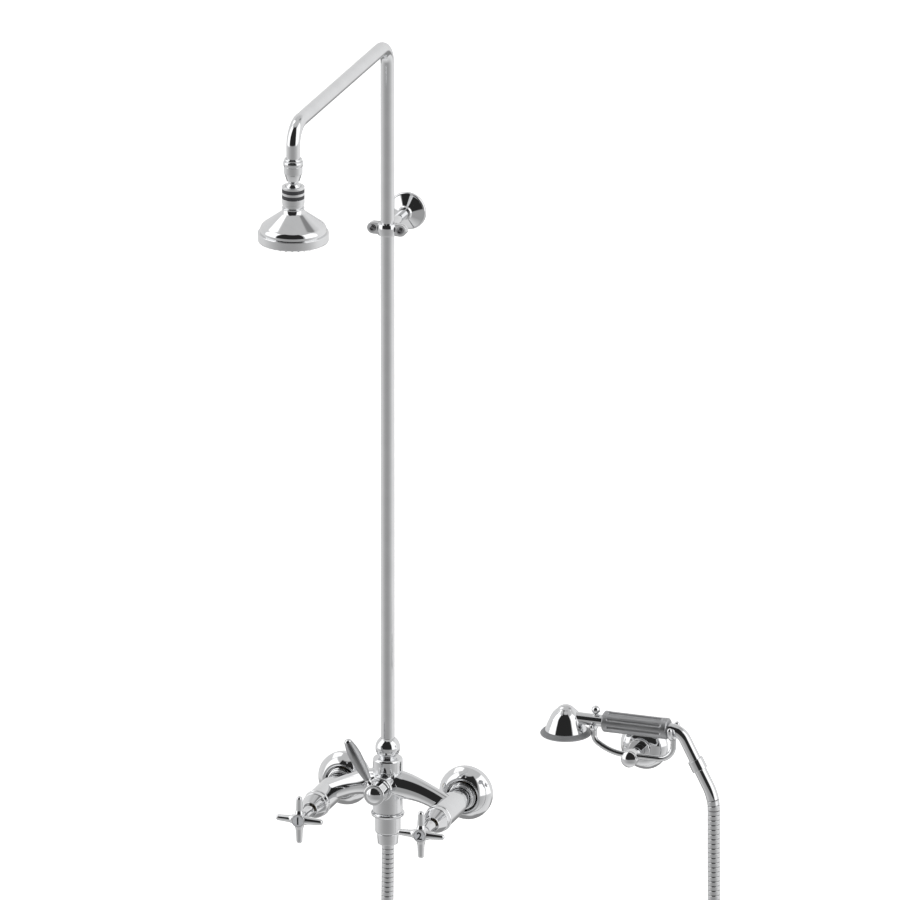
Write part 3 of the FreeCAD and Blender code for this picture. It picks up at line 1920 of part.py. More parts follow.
def route_pieces(points):
    """Straight runs joined by arcs: each piece gives its length and a place and way along it."""
    pieces, radii, here = [], [], points[0]
    for before, corner, after in zip(points, points[1:], points[2:]):
        into, out = (corner - before).normalize(), (after - corner).normalize()
        half = into.getAngle(out) / 2
        cut = 0.45 * min((corner - before).Length, (after - corner).Length)
        radius = cut / math.tan(half)
        radii.append(radius)
        start = corner - into * cut
        pieces.append(straight(here, start))
        pieces.append(bend(start, into, (out - into * into.dot(out)).normalize(), radius, 2 * half))
        here = corner + out * cut
    pieces.append(straight(here, points[-1]))
    return pieces, radii


def straight(start, end):
    way = (end - start).normalize()
    return (end - start).Length, lambda along: (start + way * along, way)


def bend(start, into, towards, radius, angle):
    centre = start + towards * radius

    def at(along):
        turn = along / radius
        place = centre + into * (radius * math.sin(turn)) - towards * (radius * math.cos(turn))
        return place, into * math.cos(turn) + towards * math.sin(turn)

    return radius * angle, at


def along_route(pieces, distance):
    for length, at in pieces:
        if distance <= length:
            return at(distance)
        distance -= length
    return pieces[-1][1](pieces[-1][0])


def ring_at(pieces, distance, radius, steady):
    """A circle round the route, its start turned to a steady direction."""
    place, way = along_route(pieces, distance)
    circle = Part.makeCircle(radius)
    circle.Placement = Placement(place, Rotation(steady, way.cross(steady), way, "ZXY"))
    return Part.Wire(circle)


def hose():
    """The ribbed hose, from its nut under the mixer to the connector below the hand shower."""
    points = route_points()
    pieces, radii = route_pieces(points)
    length = sum(piece[0] for piece in pieces)
    steady = (points[-1] - points[0]).cross(Vector(0, 0, 1)).normalize()
    crest, groove = s.hoseRadius.value, s.hoseRadius.value - s.hoseGroove.value
    end = 2 * crest
    pitch = (length - 2 * end) / HOSE_RIBS
    rings = [ring_at(pieces, 0, crest, steady)]
    for rib in range(HOSE_RIBS):
        start = end + rib * pitch
        for share, radius in ((0, groove), (0.12, crest), (0.8, crest), (0.92, groove)):
            rings.append(ring_at(pieces, start + share * pitch, radius, steady))
    rings.append(ring_at(pieces, length, crest, steady))
    steps = int(length // (2 * end))
    bore = [ring_at(pieces, length * i / steps, s.hoseBore.value, steady) for i in range(steps + 1)]
    outside, inside = Part.makeLoft(rings, False, True), Part.makeLoft(bore, False, True)
    caps = [Part.makeFace([rings[i], bore[i]], "Part::FaceMakerBullseye") for i in (0, -1)]
    shell = Part.makeShell(outside.Faces + inside.Faces + caps)
    shell.sewShape()
    feature = doc.addObject("Part::Feature", "hose")
    feature.Label = "hose"
    feature.Shape = Part.Solid(shell)
    print("hose arc radii:", [round(radius) for radius in radii])
    print("hose length:", round(length, 1), "pitch:", round(pitch, 2))
    print("hose least gap to itself:", round(least_gap(pieces, length), 1))


def least_gap(pieces, length):
    """How near the hose comes to itself, measured on points, between turns of its route."""
    step = 5
    places = [along_route(pieces, i * step)[0] for i in range(int(length // step))]
    apart = 100 // step
    nearest = min(
        (places[i] - places[j]).Length for i in range(len(places)) for j in range(i + apart, len(places))
    )
    return nearest - 2 * s.hoseRadius.value


def build():
    fill_sheet()
    half = s.inletSpacing / 2
    washers = [inlet_pieces("hot", -half), inlet_pieces("cold", half)]
    group("inlet_washers", washers)
    mixer_body()
    tap_pieces("hot", -half)
    tap_pieces("cold", half)
    diverter_pieces()
    riser_pieces()
    outlet_pieces()
    bracket_pieces()
    swivel_pieces()
    head_pieces()
    cradle_pieces()
    screws = [
        wall_screw("bracket_wall_screw", 0, s.bracketHeight),
        wall_screw("cradle_wall_screw", s.cradleDistance, s.cradleHeight),
    ]
    group("wall_screws", screws)
    handset_pieces()
    hose()
    doc.recompute()


def sub_parts():
    """The objects that are pieces of their own: bodies, groups and free shapes."""
    grouped = {piece.Name for o in doc.Objects if o.TypeId == "Part::Compound" for piece in o.Links}
    kinds = ("PartDesign::Body", "Part::Compound", "Part::Feature")
    return [o for o in doc.Objects if o.TypeId in kinds and o.Name not in grouped]


def write():
    for thing in doc.Objects:
        if {"Invalid", "Error"} & set(thing.State):
            raise RuntimeError(f"{thing.Name} is {thing.State}")
    for part in sub_parts():
        if part.Shape.isNull() or not part.Shape.isValid() or not part.Shape.Solids:
            raise RuntimeError(f"{part.Label} has no valid solid")
    os.makedirs("parts", exist_ok=True)
    for part in sub_parts():
        part.Shape.exportStep(f"parts/{part.Label}.step")
    print(len(sub_parts()), "sub-parts")


build()
write()
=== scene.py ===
"""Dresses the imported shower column: chrome mixer, riser, overhead shower, cradle and hand shower.

Every piece is drawn in millimetres, as a turned, swept or padded shape, and put where the CAD has it.
"""

import bisect
import json
import math
from types import SimpleNamespace

import bmesh
import bpy
from mathutils import Matrix, Vector

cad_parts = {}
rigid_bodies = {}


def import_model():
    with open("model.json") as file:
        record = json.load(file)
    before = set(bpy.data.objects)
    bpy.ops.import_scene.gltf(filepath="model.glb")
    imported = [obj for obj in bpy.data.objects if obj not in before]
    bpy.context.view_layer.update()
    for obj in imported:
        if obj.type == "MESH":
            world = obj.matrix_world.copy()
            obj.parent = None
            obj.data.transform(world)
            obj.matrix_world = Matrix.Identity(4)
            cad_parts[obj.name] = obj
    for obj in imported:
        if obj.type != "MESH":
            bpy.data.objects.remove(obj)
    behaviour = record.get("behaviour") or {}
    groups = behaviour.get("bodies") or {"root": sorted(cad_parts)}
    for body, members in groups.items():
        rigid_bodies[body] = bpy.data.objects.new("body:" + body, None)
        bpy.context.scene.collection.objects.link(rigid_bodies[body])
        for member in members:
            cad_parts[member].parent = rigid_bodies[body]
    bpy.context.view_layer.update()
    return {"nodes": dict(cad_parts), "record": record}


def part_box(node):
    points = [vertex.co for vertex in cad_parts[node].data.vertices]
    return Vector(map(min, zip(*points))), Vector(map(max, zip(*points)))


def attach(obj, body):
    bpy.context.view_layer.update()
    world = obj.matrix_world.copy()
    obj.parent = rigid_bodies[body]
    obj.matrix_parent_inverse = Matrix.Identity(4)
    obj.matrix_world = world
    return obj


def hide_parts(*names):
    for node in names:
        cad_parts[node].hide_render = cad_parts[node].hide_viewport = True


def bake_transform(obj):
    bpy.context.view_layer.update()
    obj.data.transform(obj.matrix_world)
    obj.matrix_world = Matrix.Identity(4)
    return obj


bl_info = {
    "name": "Shower Column",
    "version": (1, 0, 0),
    "blender": (4, 5, 0),
    "location": "View3D > Sidebar > Shower",
    "description": "Builds a wall-mounted shower column piece by piece around its packed frame",
    "category": "Add Mesh",
}

for leftover in list(bpy.data.objects):
    bpy.data.objects.remove(leftover)
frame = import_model()

MM = 0.001
TAU = 2 * math.pi


def turn_about(axis, degrees):
    """A rotation about one axis."""
    return Matrix.Rotation(math.radians(degrees), 4, axis)


UP = Matrix.Identity(4)
OUT = turn_about("X", 90)
ALONG = turn_about("Y", 90)
SIDEWAYS = turn_about("Z", -90)

# The photograph's camera: the point that it looks at, in metres, and how it stands round it
CAMERA_AIM = Vector((0.0766, -0.0695, 0.4409))
CAMERA_TURN, CAMERA_LIFT = math.radians(19.876), math.radians(19.204)
CAMERA_DISTANCE, CAMERA_LENS = 45.883, 1586.6

# The hose's way down from its nut and up to the hand shower, in metres
HOSE_POINTS = (
    (0, -0.07, -0.0512), (0, -0.07, -0.146), (-0.008, -0.0704, -0.24), (-0.003, -0.07015, -0.332),
    (0.0509, -0.06742, -0.421), (0.1428, -0.06276, -0.474), (0.2497, -0.05734, -0.473),
    (0.3415, -0.05268, -0.422), (0.3985, -0.04979, -0.332), (0.4055, -0.04944, -0.232),
    (0.3955, -0.04994, -0.131), (0.3944, -0.05, -0.042), (0.3944, -0.05, 0.0307),
)

# The diverter's lever: its distance from the wall in millimetres, and its lean in degrees
LEVER_DISTANCE, LEVER_LEAN = 112, 29.5

# Heights above the inlets, in millimetres
DIVERTER_HEIGHT = 23.3
SOCKET_BAND_LOWS = (842, 849.3)
HEAD_FACE_HEIGHT = 790.2
ARM_END_HEIGHT = 876

# Along the hand shower, in millimetres from the cradle's post
BELL_OFFSET = -80.2
FINIAL_OFFSET = -43.3
GRIP_OFFSET = -33.1
ELBOW_OFFSET = 61.1

# The clamp: its screws' distance from the riser's axis in millimetres, and half the gap between its
# halves in degrees
CLAMP_SCREW_OFFSET, CLAMP_GAP = 16.9, 1.6

# The numbers on the discs, in millimetres
MARK_HEIGHT, MARK_SIZE, MARK_THICKNESS = 169.5, 12.6, 0.35


def length_size(name, description, default):
    """A size in metres that the sidebar shows with its unit."""
    return bpy.props.FloatProperty(
        name=name, description=description, default=default, min=0.0005, unit="LENGTH", subtype="DISTANCE"
    )


def colour(name, description, default):
    return bpy.props.FloatVectorProperty(
        name=name, description=description, default=default, size=3, min=0, max=1, subtype="COLOR"
    )


class ColumnSizes(bpy.types.PropertyGroup):
    inlet_spacing: length_size("Inlet spacing", "Between the two water inlets", 0.15)
    riser_distance: length_size("Riser distance", "From the wall to the riser's axis", 0.07)
    arm_height: length_size("Arm height", "Height of the shower arm's axis", 0.9285)
    arm_reach: length_size("Arm reach", "From the riser's axis to the overhead shower's", 0.3165)
    pipe_radius: length_size("Pipe radius", "Outer radius of the riser and its arm", 0.008)
    pipe_bend: length_size("Pipe bend", "Radius of the riser's bends, at the tube's axis", 0.025)
    bracket_height: length_size("Bracket height", "Height of the upper wall bracket", 0.703)
    cradle_distance: length_size("Cradle distance", "From the riser to the hand shower's post", 0.2925)
    cradle_height: length_size("Cradle height", "Height of the cradle's post", 0.0828)
    handset_height: length_size("Hand shower height", "Height of the hand shower's axis", 0.1238)
    handset_distance: length_size("Hand shower distance", "From the wall to the hand shower", 0.05)
    hose_radius: length_size("Hose radius", "Outer radius of the ribbed hose", 0.0072)
    hose_groove: length_size("Hose groove", "Depth of the grooves between its ribs", 0.0005)
    hose_pitch: length_size("Hose pitch", "From one rib of the hose to the next", 0.00578)
    flutes: bpy.props.IntProperty(
        name="Grip flutes", description="Hollow flutes round the hand shower's grip", default=9, min=3, max=24
    )


class ColumnColours(bpy.types.PropertyGroup):
    chrome: colour("Chrome", "Polished chrome plating", (0.82, 0.825, 0.835))
    hose: colour("Hose", "Bright metal of the ribbed hose", (0.74, 0.745, 0.755))
    satin: colour("Satin metal", "Grip and lever sleeve", (0.52, 0.525, 0.535))
    rim: colour("Rim", "Soft rim of the hand shower", (0.3, 0.305, 0.315))
    face: colour("Spray faces", "Moulded faces of both showers", (0.62, 0.63, 0.65))
    band: colour("Bands", "Dark bands round the socket nut", (0.045, 0.045, 0.05))
    disc: colour("Index discs", "Discs in the middle of the cross handles", (0.52, 0.53, 0.55))
    mark: colour("Marks", "Numbers on the index discs", (0.015, 0.015, 0.016))
    nozzle: colour("Nozzles", "Soft nozzles under the showers", (0.1, 0.1, 0.105))
    rubber: colour("Washers", "Rubber of the hidden washers", (0.03, 0.03, 0.03))
    plastic: colour("Seat", "White plastic of the ball's seat", (0.82, 0.82, 0.79))
    # Brass of the spindles and unions, darker than bare brass: partly the brass's own colour, partly painted
    # shade for the recesses in the bonnets and behind the flanges where these parts sit
    brass: colour("Brass", "Bare brass of the inner parts", (0.38, 0.32, 0.22))
    steel: colour("Steel", "Stainless steel of the screws", (0.3, 0.3, 0.31))
    floor: colour("Floor", "The pale floor", (0.9, 0.9, 0.9))


# Shapes


def at(x, y, z, turn=UP):
    """A place, in millimetres, for a shape that is turned first."""
    return Matrix.Translation((x, y, z)) @ turn


def sizes():
    """The sizes in millimetres, by name."""
    group = bpy.context.scene.column_sizes
    lengths = {name: getattr(group, name) / MM for name in group.__annotations__ if name != "flutes"}
    return SimpleNamespace(**lengths)


def arc_facts(start, end, radius):
    """The centre and angle of an arc in the XZ plane. A radius above 0 turns left."""
    chord = end - start
    side = Vector((-chord.z, 0, chord.x)).normalized() * math.copysign(1, radius)
    half = chord.length / 2
    centre = (start + end) / 2 + side * math.sqrt(max(radius * radius - half * half, 0))
    return centre, 2 * math.asin(min(1, half / abs(radius)))


def wire(bm, outline, ease):
    """Edges through (across, up) points of the XZ plane, with eased corners.

    A point's third number is the radius of the arc that leads to it.
    """
    first = last = bm.verts.new((outline[0][0], 0, outline[0][1]))
    for across, up, *radius in outline[1:]:
        end = Vector((across, 0, up))
        if radius:
            centre, angle = arc_facts(last.co, end, radius[0])
            made = bmesh.ops.spin(
                bm, geom=[last], cent=centre, axis=(0, -math.copysign(1, radius[0]), 0), dvec=(0, 0, 0),
                angle=angle, steps=max(2, math.ceil(angle / math.radians(8))), use_merge=False,
                use_duplicate=False,
            )
            last = only(bmesh.types.BMVert, made["geom_last"])[0]
        else:
            before, last = last, bm.verts.new(end)
            bm.edges.new((before, last))
    if max(first.co.x, last.co.x) > 1e-4 or (first.co - last.co).length < 1e-4:
        bm.edges.new((last, first))
    corners = [v for v in bm.verts if len(v.link_edges) == 2 and abs(v.co.x) > 1e-4 and bends(v)]
    for corner in corners:
        room = min(e.calc_length() for e in corner.link_edges) * 0.4
        bevel(bm, [corner], min(ease, room), 2, "VERTICES")


def only(kind, geom):
    return [thing for thing in geom if isinstance(thing, kind)]


def bends(vert):
    """Whether the two edges at a vertex meet in a corner."""
    ends = [edge.other_vert(vert).co - vert.co for edge in vert.link_edges]
    return ends[0].angle(-ends[1], 0) > math.radians(25)


def turned(outline, ease=0.2, steps=64):
    """A shape turned about its Z axis from the outline of one side."""
    bm = bmesh.new()
    wire(bm, outline, ease)
    bmesh.ops.spin(
        bm, geom=bm.verts[:] + bm.edges[:], cent=(0, 0, 0), axis=(0, 0, 1), dvec=(0, 0, 0), angle=TAU,
        steps=steps, use_merge=True,
    )
    bmesh.ops.remove_doubles(bm, verts=bm.verts[:], dist=1e-4)
    return bm


def padded(outline, thickness, ease):
    """A plate in the XZ plane, from its outline, as thick as given towards -Y."""
    bm = bmesh.new()
    wire(bm, outline, 0)
    face = bmesh.ops.contextual_create(bm, geom=bm.edges[:])["faces"]
    thicken(bm, face, (0, -thickness, 0))
    rims = [e for e in bm.edges if e.is_manifold and e.calc_face_angle(0) > math.radians(60)]
    bevel(bm, rims, ease, 3)
    return bm


def thicken(bm, faces, way):
    """Gives flat faces a thickness along one way."""
    moved = bmesh.ops.extrude_face_region(bm, geom=faces)["geom"]
    bmesh.ops.translate(bm, verts=only(bmesh.types.BMVert, moved), vec=way)


def bevel(bm, geom, offset, segments, affect="EDGES"):
    """Rounds off edges or corners."""
    bmesh.ops.bevel(
        bm, geom=geom, offset=offset, offset_type="OFFSET", segments=segments, profile=0.5, affect=affect,
        material=-1, clamp_overlap=True,
    )


def frame_at(place, ahead, side, scale):
    """A ring's frame: its middle, the way through it, and its radius."""
    ahead = ahead.normalized()
    across = side.cross(ahead).normalized()
    turn = Matrix((across, ahead.cross(across), ahead)).transposed().to_4x4()
    return Matrix.Translation(place) @ turn @ Matrix.Scale(scale, 4)


def frames_along(path, radius, rounded, ease=0.3):
    """Ring frames along runs and bends of the XZ plane, with round or eased ends."""
    side = Vector((0, 1, 0))
    points = []
    last = Vector((path[0][0], 0, path[0][1]))
    for across, up, *bend in path[1:]:
        end = Vector((across, 0, up))
        if bend:
            centre, angle = arc_facts(last, end, bend[0])
            axis = Vector((0, -math.copysign(1, bend[0]), 0))
            steps = max(2, math.ceil(angle / math.radians(5)))
            for step in range(steps + 1):
                arm = Matrix.Rotation(angle * step / steps, 3, axis) @ (last - centre)
                points.append((centre + arm, axis.cross(arm)))
        else:
            points += [(last, end - last), (end, end - last)]
        last = end
    kept = [points[0]]
    for point in points[1:]:
        if (point[0] - kept[-1][0]).length > 1e-3:
            kept.append(point)
    rings = [frame_at(place, ahead, side, radius) for place, ahead in kept]
    for end in (0, -1):
        place, way = kept[end]
        outwards = way.normalized() * (1 if end else -1)
        if rounded:
            turns = [math.radians(turn) for turn in (18, 36, 54, 72, 86)]
            caps = [(radius * math.sin(turn), radius * math.cos(turn)) for turn in turns]
        else:
            rings[end] = frame_at(place - outwards * ease, way, side, radius)
            caps = [(-ease / 2, radius - ease * (1 - math.sqrt(0.75))), (0, radius - ease)]
        caps = [frame_at(place + outwards * far, way, side, reach) for far, reach in caps]
        rings = rings + caps if end else caps[::-1] + rings
    return rings


def swept(rings, segments):
    """A closed shape through rings, each one moved on from the ring before it."""
    bm = bmesh.new()
    bmesh.ops.create_circle(bm, cap_ends=False, radius=1, segments=segments, matrix=rings[0])
    first = edges = bm.edges[:]
    for before, after in zip(rings, rings[1:]):
        made = bmesh.ops.extrude_edge_only(bm, edges=edges)["geom"]
        verts = only(bmesh.types.BMVert, made)
        edges = [edge for edge in only(bmesh.types.BMEdge, made) if set(edge.verts) <= set(verts)]
        bmesh.ops.transform(bm, matrix=after @ before.inverted(), verts=verts)
    bmesh.ops.edgeloop_fill(bm, edges=first)
    bmesh.ops.edgeloop_fill(bm, edges=edges)
    return bm


def bar(path, radius, segments, rounded=False):
    return swept(frames_along(path, radius, rounded), segments)


def gather(*shells):
    """One mesh from (shell, place) pairs, each with its faces pointing outwards."""
    whole = bmesh.new()
    for shell, place in shells:
        bmesh.ops.recalc_face_normals(shell, faces=shell.faces[:])
        bmesh.ops.transform(shell, matrix=place, verts=shell.verts[:])
        carrier = bpy.data.meshes.new("carrier")
        shell.to_mesh(carrier)
        shell.free()
        whole.from_mesh(carrier)
        bpy.data.meshes.remove(carrier)
    return whole


def piece(name, bm, body, nodes=(), look="Chrome", place=UP, sharp=35):
    """Makes a mesh, drawn in millimetres, a piece that rides on a body."""
    bmesh.ops.recalc_face_normals(bm, faces=bm.faces[:])
    bmesh.ops.transform(bm, matrix=Matrix.Scale(MM, 4) @ place, verts=bm.verts[:])
    mesh = bpy.data.meshes.new(name)
    bm.to_mesh(mesh)
    bm.free()
    mesh.shade_smooth()
    mesh.set_sharp_from_angle(angle=math.radians(sharp))
    mesh.materials.append(finish(look))
    thing = bpy.data.objects.new(name, mesh)
    bpy.context.collection.objects.link(thing)
    shading = thing.modifiers.new("Even shading", "WEIGHTED_NORMAL")
    shading.keep_sharp = True
    if body:
        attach(thing, body)
    if nodes:
        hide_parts(*nodes)
    return thing


def lathe(body, place, *names, side=""):
    """Pieces from the table of turned pieces, all in one place on one body."""
    for name in names:
        node, ease, steps, outline, look = (*TURNED[name], "Chrome")[:5]
        piece(side + name, turned(outline, ease, steps), body, [side + node], look, place)


# Finishes


def add_node(tree, kind, inputs=(), **settings):
    """A node with its settings. Each input is named or numbered, and takes a value or an output."""
    node = tree.nodes.new(kind)
    for name, value in settings.items():
        setattr(node, name, value)
    for name, value in dict(inputs).items():
        if isinstance(value, bpy.types.NodeSocket):
            tree.links.new(value, node.inputs[name])
        else:
            node.inputs[name].default_value = value
    return node


def variation_group():
    """A group that turns a point of the object into soft, uneven variation."""
    name = "Uneven surface"
    if name in bpy.data.node_groups:
        return bpy.data.node_groups[name]
    tree = bpy.data.node_groups.new(name, "ShaderNodeTree")
    face = tree.interface
    face.new_socket("Vector", in_out="INPUT", socket_type="NodeSocketVector")
    for label, value in (("Scale", 30), ("Low", 0), ("High", 1)):
        face.new_socket(label, in_out="INPUT", socket_type="NodeSocketFloat").default_value = value
    for label in ("Value", "Height"):
        face.new_socket(label, in_out="OUTPUT", socket_type="NodeSocketFloat")
    given = add_node(tree, "NodeGroupInput").outputs
    noise = add_node(tree, "ShaderNodeTexNoise", {
        "Vector": given["Vector"], "Scale": given["Scale"], "Detail": 5, "Roughness": 0.55,
    }).outputs["Fac"]
    spread = add_node(tree, "ShaderNodeMapRange", {
        "Value": noise, "From Min": 0.3, "From Max": 0.7, "To Min": given["Low"], "To Max": given["High"],
    })
    add_node(tree, "NodeGroupOutput", {"Value": spread.outputs["Result"], "Height": noise})
    return tree


class Finish:
    """A material under construction: its shader, and nodes added to it by kind."""

    def __init__(self, name, metallic):
        self.material = bpy.data.materials.new(name)
        self.material.use_nodes = True
        self.tree = self.material.node_tree
        self.shader = self.tree.nodes["Principled BSDF"]
        self.shader.inputs["Metallic"].default_value = metallic
        self.point = add_node(self.tree, "ShaderNodeTexCoord").outputs["Object"]

    def stretched(self, scale):
        """The object's point, stretched so that a pattern runs along one way."""
        inputs = {"Vector": self.point, "Scale": scale}
        return add_node(self.tree, "ShaderNodeMapping", inputs).outputs["Vector"]

    def uneven(self, scale, low=0, high=1, vector=None):
        """Soft variation between two values: its value and its height."""
        inputs = {"Vector": vector or self.point, "Scale": scale, "Low": low, "High": high}
        return add_node(self.tree, "ShaderNodeGroup", inputs, node_tree=variation_group()).outputs

    def tint(self, colour, amount, factor):
        """The base colour, darker by the amount where the factor is low."""
        inputs = {"A": (*(c * (1 - amount) for c in colour), 1), "B": (*colour, 1), "Factor": factor}
        mix = add_node(self.tree, "ShaderNodeMix", inputs, data_type="RGBA")
        self.tree.links.new(mix.outputs["Result"], self.shader.inputs["Base Color"])

    def rough(self, scale, low, high):
        self.tree.links.new(self.uneven(scale, low, high)["Value"], self.shader.inputs["Roughness"])

    def bump(self, height, strength, distance):
        inputs = {"Strength": strength, "Distance": distance, "Height": height}
        node = add_node(self.tree, "ShaderNodeBump", inputs)
        self.tree.links.new(node.outputs["Normal"], self.shader.inputs["Normal"])


def polished(name, colour, low, high):
    """Plated metal with a faint film and a trace of waviness."""
    look = Finish(name, 1.0)
    look.tint(colour, 0.05, look.uneven(55)["Value"])
    look.rough(140, low, high)
    look.bump(look.uneven(26)["Height"], 0.04, 0.0004)


def brushed(name, colour, stretch):
    """Satin metal with fine lines along one way."""
    look = Finish(name, 1.0)
    lines = look.uneven(900, vector=look.stretched(stretch))
    look.tint(colour, 0.2, lines["Value"])
    look.rough(60, 0.36, 0.5)
    look.bump(lines["Height"], 0.15, 0.00008)


def moulded(name, colour, low, high, grain=0.12, amount=0.08):
    """Plastic or rubber with a fine moulded grain."""
    look = Finish(name, 0.0)
    look.tint(colour, amount, look.uneven(70)["Value"])
    look.rough(220, low, high)
    look.bump(look.uneven(1800)["Height"], grain, 0.0001)


def machined(name, colour):
    """Bare metal with the turning marks of its making."""
    look = Finish(name, 1.0)
    marks = look.uneven(500, vector=look.stretched((1, 8, 1)))
    look.tint(colour, 0.15, marks["Value"])
    look.rough(90, 0.22, 0.38)
    look.bump(marks["Height"], 0.1, 0.00005)


def ribbed(name, colour):
    """The hose's bright ribs, with painted shade that darkens the metal down in the grooves."""
    look = Finish(name, 1.0)
    # Painted shade: each point's share from groove to crest, so that the base colour is 55% darker down in
    # the grooves
    depth = add_node(look.tree, "ShaderNodeAttribute", attribute_name="rib")
    look.tint(colour, 0.55, depth.outputs["Fac"])
    look.rough(120, 0.1, 0.2)
    look.bump(look.uneven(300)["Height"], 0.05, 0.0001)


# Each finish: its slot in the record, its maker, its colour in the sidebar and the maker's other values
FINISHES = {
    "Chrome": ("chrome", polished, "chrome", 0.035, 0.075),
    "Hose metal": ("hose_metal", ribbed, "hose"),
    "Satin grip": ("satin_metal", brushed, "satin", (0.05, 1, 1)),
    "Satin sleeve": ("satin_metal", brushed, "satin", (1, 1, 0.05)),
    "Grey rim": ("rim_grey", moulded, "rim", 0.35, 0.5),
    "Grey face": ("face_grey", moulded, "face", 0.3, 0.42),
    "Dark band": ("dark_bands", moulded, "band", 0.4, 0.55),
    "Black mark": ("index_disc", moulded, "mark", 0.35, 0.5, 0.05, 0.2),
    "Index disc": ("index_disc", moulded, "disc", 0.12, 0.2, 0.02, 0.04),
    "Nozzle rubber": ("nozzle_rubber", moulded, "nozzle", 0.5, 0.65),
    "Washer rubber": ("washer_rubber", moulded, "rubber", 0.6, 0.75),
    "White plastic": ("seat_plastic", moulded, "plastic", 0.3, 0.4),
    "Brass": ("brass", machined, "brass"),
    "Steel": ("steel", machined, "steel"),
}


def finish(name):
    """The material of that name, made the first time that it is asked for."""
    if name not in bpy.data.materials:
        _, maker, colour_name, *values = FINISHES[name]
        maker(name, getattr(bpy.context.scene.column_colours, colour_name), *values)
    return bpy.data.materials[name]


# Stage


def way_to_camera():
    """The way from the column to the photograph's camera."""
    level = math.cos(CAMERA_LIFT)
    return Vector((math.sin(CAMERA_TURN) * level, -math.cos(CAMERA_TURN) * level, math.sin(CAMERA_LIFT)))


def put_camera():
    back = way_to_camera()
    camera = bpy.data.cameras.new("Photo camera")
    camera.sensor_width = 36
    camera.lens = CAMERA_LENS
    camera.clip_start = 1
    camera.clip_end = 200
    thing = bpy.data.objects.new("Photo camera", camera)
    thing.location = CAMERA_AIM + back * CAMERA_DISTANCE
    thing.rotation_euler = back.to_track_quat("Z", "Y").to_euler()
    bpy.context.scene.collection.objects.link(thing)
    bpy.context.scene.camera = thing


def light_studio():
    """A pale studio that stays fixed in the world: soft boxes, a dark card and a grey floor."""
    scene = bpy.context.scene
    world = bpy.data.worlds.new("Soft studio")
    scene.world = world
    world.use_nodes = True
    tree = world.node_tree
    tree.nodes.clear()
    back = way_to_camera()
    front = Vector((back.x, back.y, 0)).normalized()
    right = Vector((-front.y, front.x, 0))
    sky = add_node(tree, "ShaderNodeTexCoord").outputs["Generated"]

    def maths(kind, *values, clamp=False):
        inputs = dict(enumerate(values))
        return add_node(tree, "ShaderNodeMath", inputs, operation=kind, use_clamp=clamp).outputs["Value"]

    def along(way):
        inputs = {0: sky, 1: way}
        return add_node(tree, "ShaderNodeVectorMath", inputs, operation="DOT_PRODUCT").outputs["Value"]

    degrees = 180 / math.pi
    azimuth = maths("MULTIPLY", maths("ARCTAN2", along(right), along(front)), degrees)
    elevation = maths("MULTIPLY", maths("ARCSINE", along((0, 0, 1))), degrees)

    def within(angle, middle, half, softness, wraps=False):
        """A soft-edged mask that is 1 up to so many degrees from the middle."""
        away = maths("ABSOLUTE", maths("SUBTRACT", angle, middle))
        if wraps:
            away = maths("PINGPONG", away, 180)
        return maths("ADD", maths("DIVIDE", maths("SUBTRACT", half, away), softness), 0.5, clamp=True)

    # How bright the studio is round about, from its back over the left, the front and the right
    share = maths("ADD", maths("DIVIDE", azimuth, 360.0), 0.5)
    round_about = add_node(tree, "ShaderNodeFloatCurve", {"Value": share})
    curve = round_about.mapping.curves[0]
    points = (
        (0, 0.8), (0.164, 0.8), (0.24, 0.7), (0.3, 0.58), (0.355, 0.48), (0.405, 0.415), (0.5, 0.39),
        (0.545, 0.42), (0.595, 0.49), (0.645, 0.6), (0.7, 0.755), (0.76, 0.9), (0.836, 0.92), (0.917, 0.86),
        (1, 0.8),
    )
    curve.points[0].location, curve.points[-1].location = points[0], points[-1]
    for point in points[1:-1]:
        curve.points.new(*point)
    round_about.mapping.update()
    total = maths("MULTIPLY", round_about.outputs["Value"], 1.18)

    patches = (
        # azimuth, elevation, half width, half height, softness, brightness that it is drawn towards
        (0, 78, 180, 36, 20, 0.73),
        (66, 22, 25, 32, 4, 1.7),
        (-86, 22, 24, 34, 4, 1.7),
        (-127, 53, 13, 14, 4, 1.9),
        (121, 57, 10, 9, 5, 0.34),
        (-12, 31, 48, 38, 4, 0.03),
        (0, -80, 180, 25, 30, 1.0),
        (180, -50, 60, 27, 8, 0.36),
    )
    for middle, height, half_width, half_height, softness, bright in patches:
        across = within(azimuth, middle, half_width, softness, True)
        mask = maths("MULTIPLY", across, within(elevation, height, half_height, softness))
        inputs = {"Factor": mask, "A": total, "B": bright}
        total = add_node(tree, "ShaderNodeMix", inputs, data_type="FLOAT").outputs["Result"]

    studio = add_node(tree, "ShaderNodeBackground", {"Strength": total}).outputs["Background"]
    backdrop = add_node(tree, "ShaderNodeBackground", {"Strength": 1.0}).outputs["Background"]
    camera_ray = add_node(tree, "ShaderNodeLightPath").outputs["Is Camera Ray"]
    seen = add_node(tree, "ShaderNodeMixShader", {"Fac": camera_ray, 1: studio, 2: backdrop})
    add_node(tree, "ShaderNodeOutputWorld", {"Surface": seen.outputs["Shader"]})
    scene.view_settings.view_transform = "Standard"


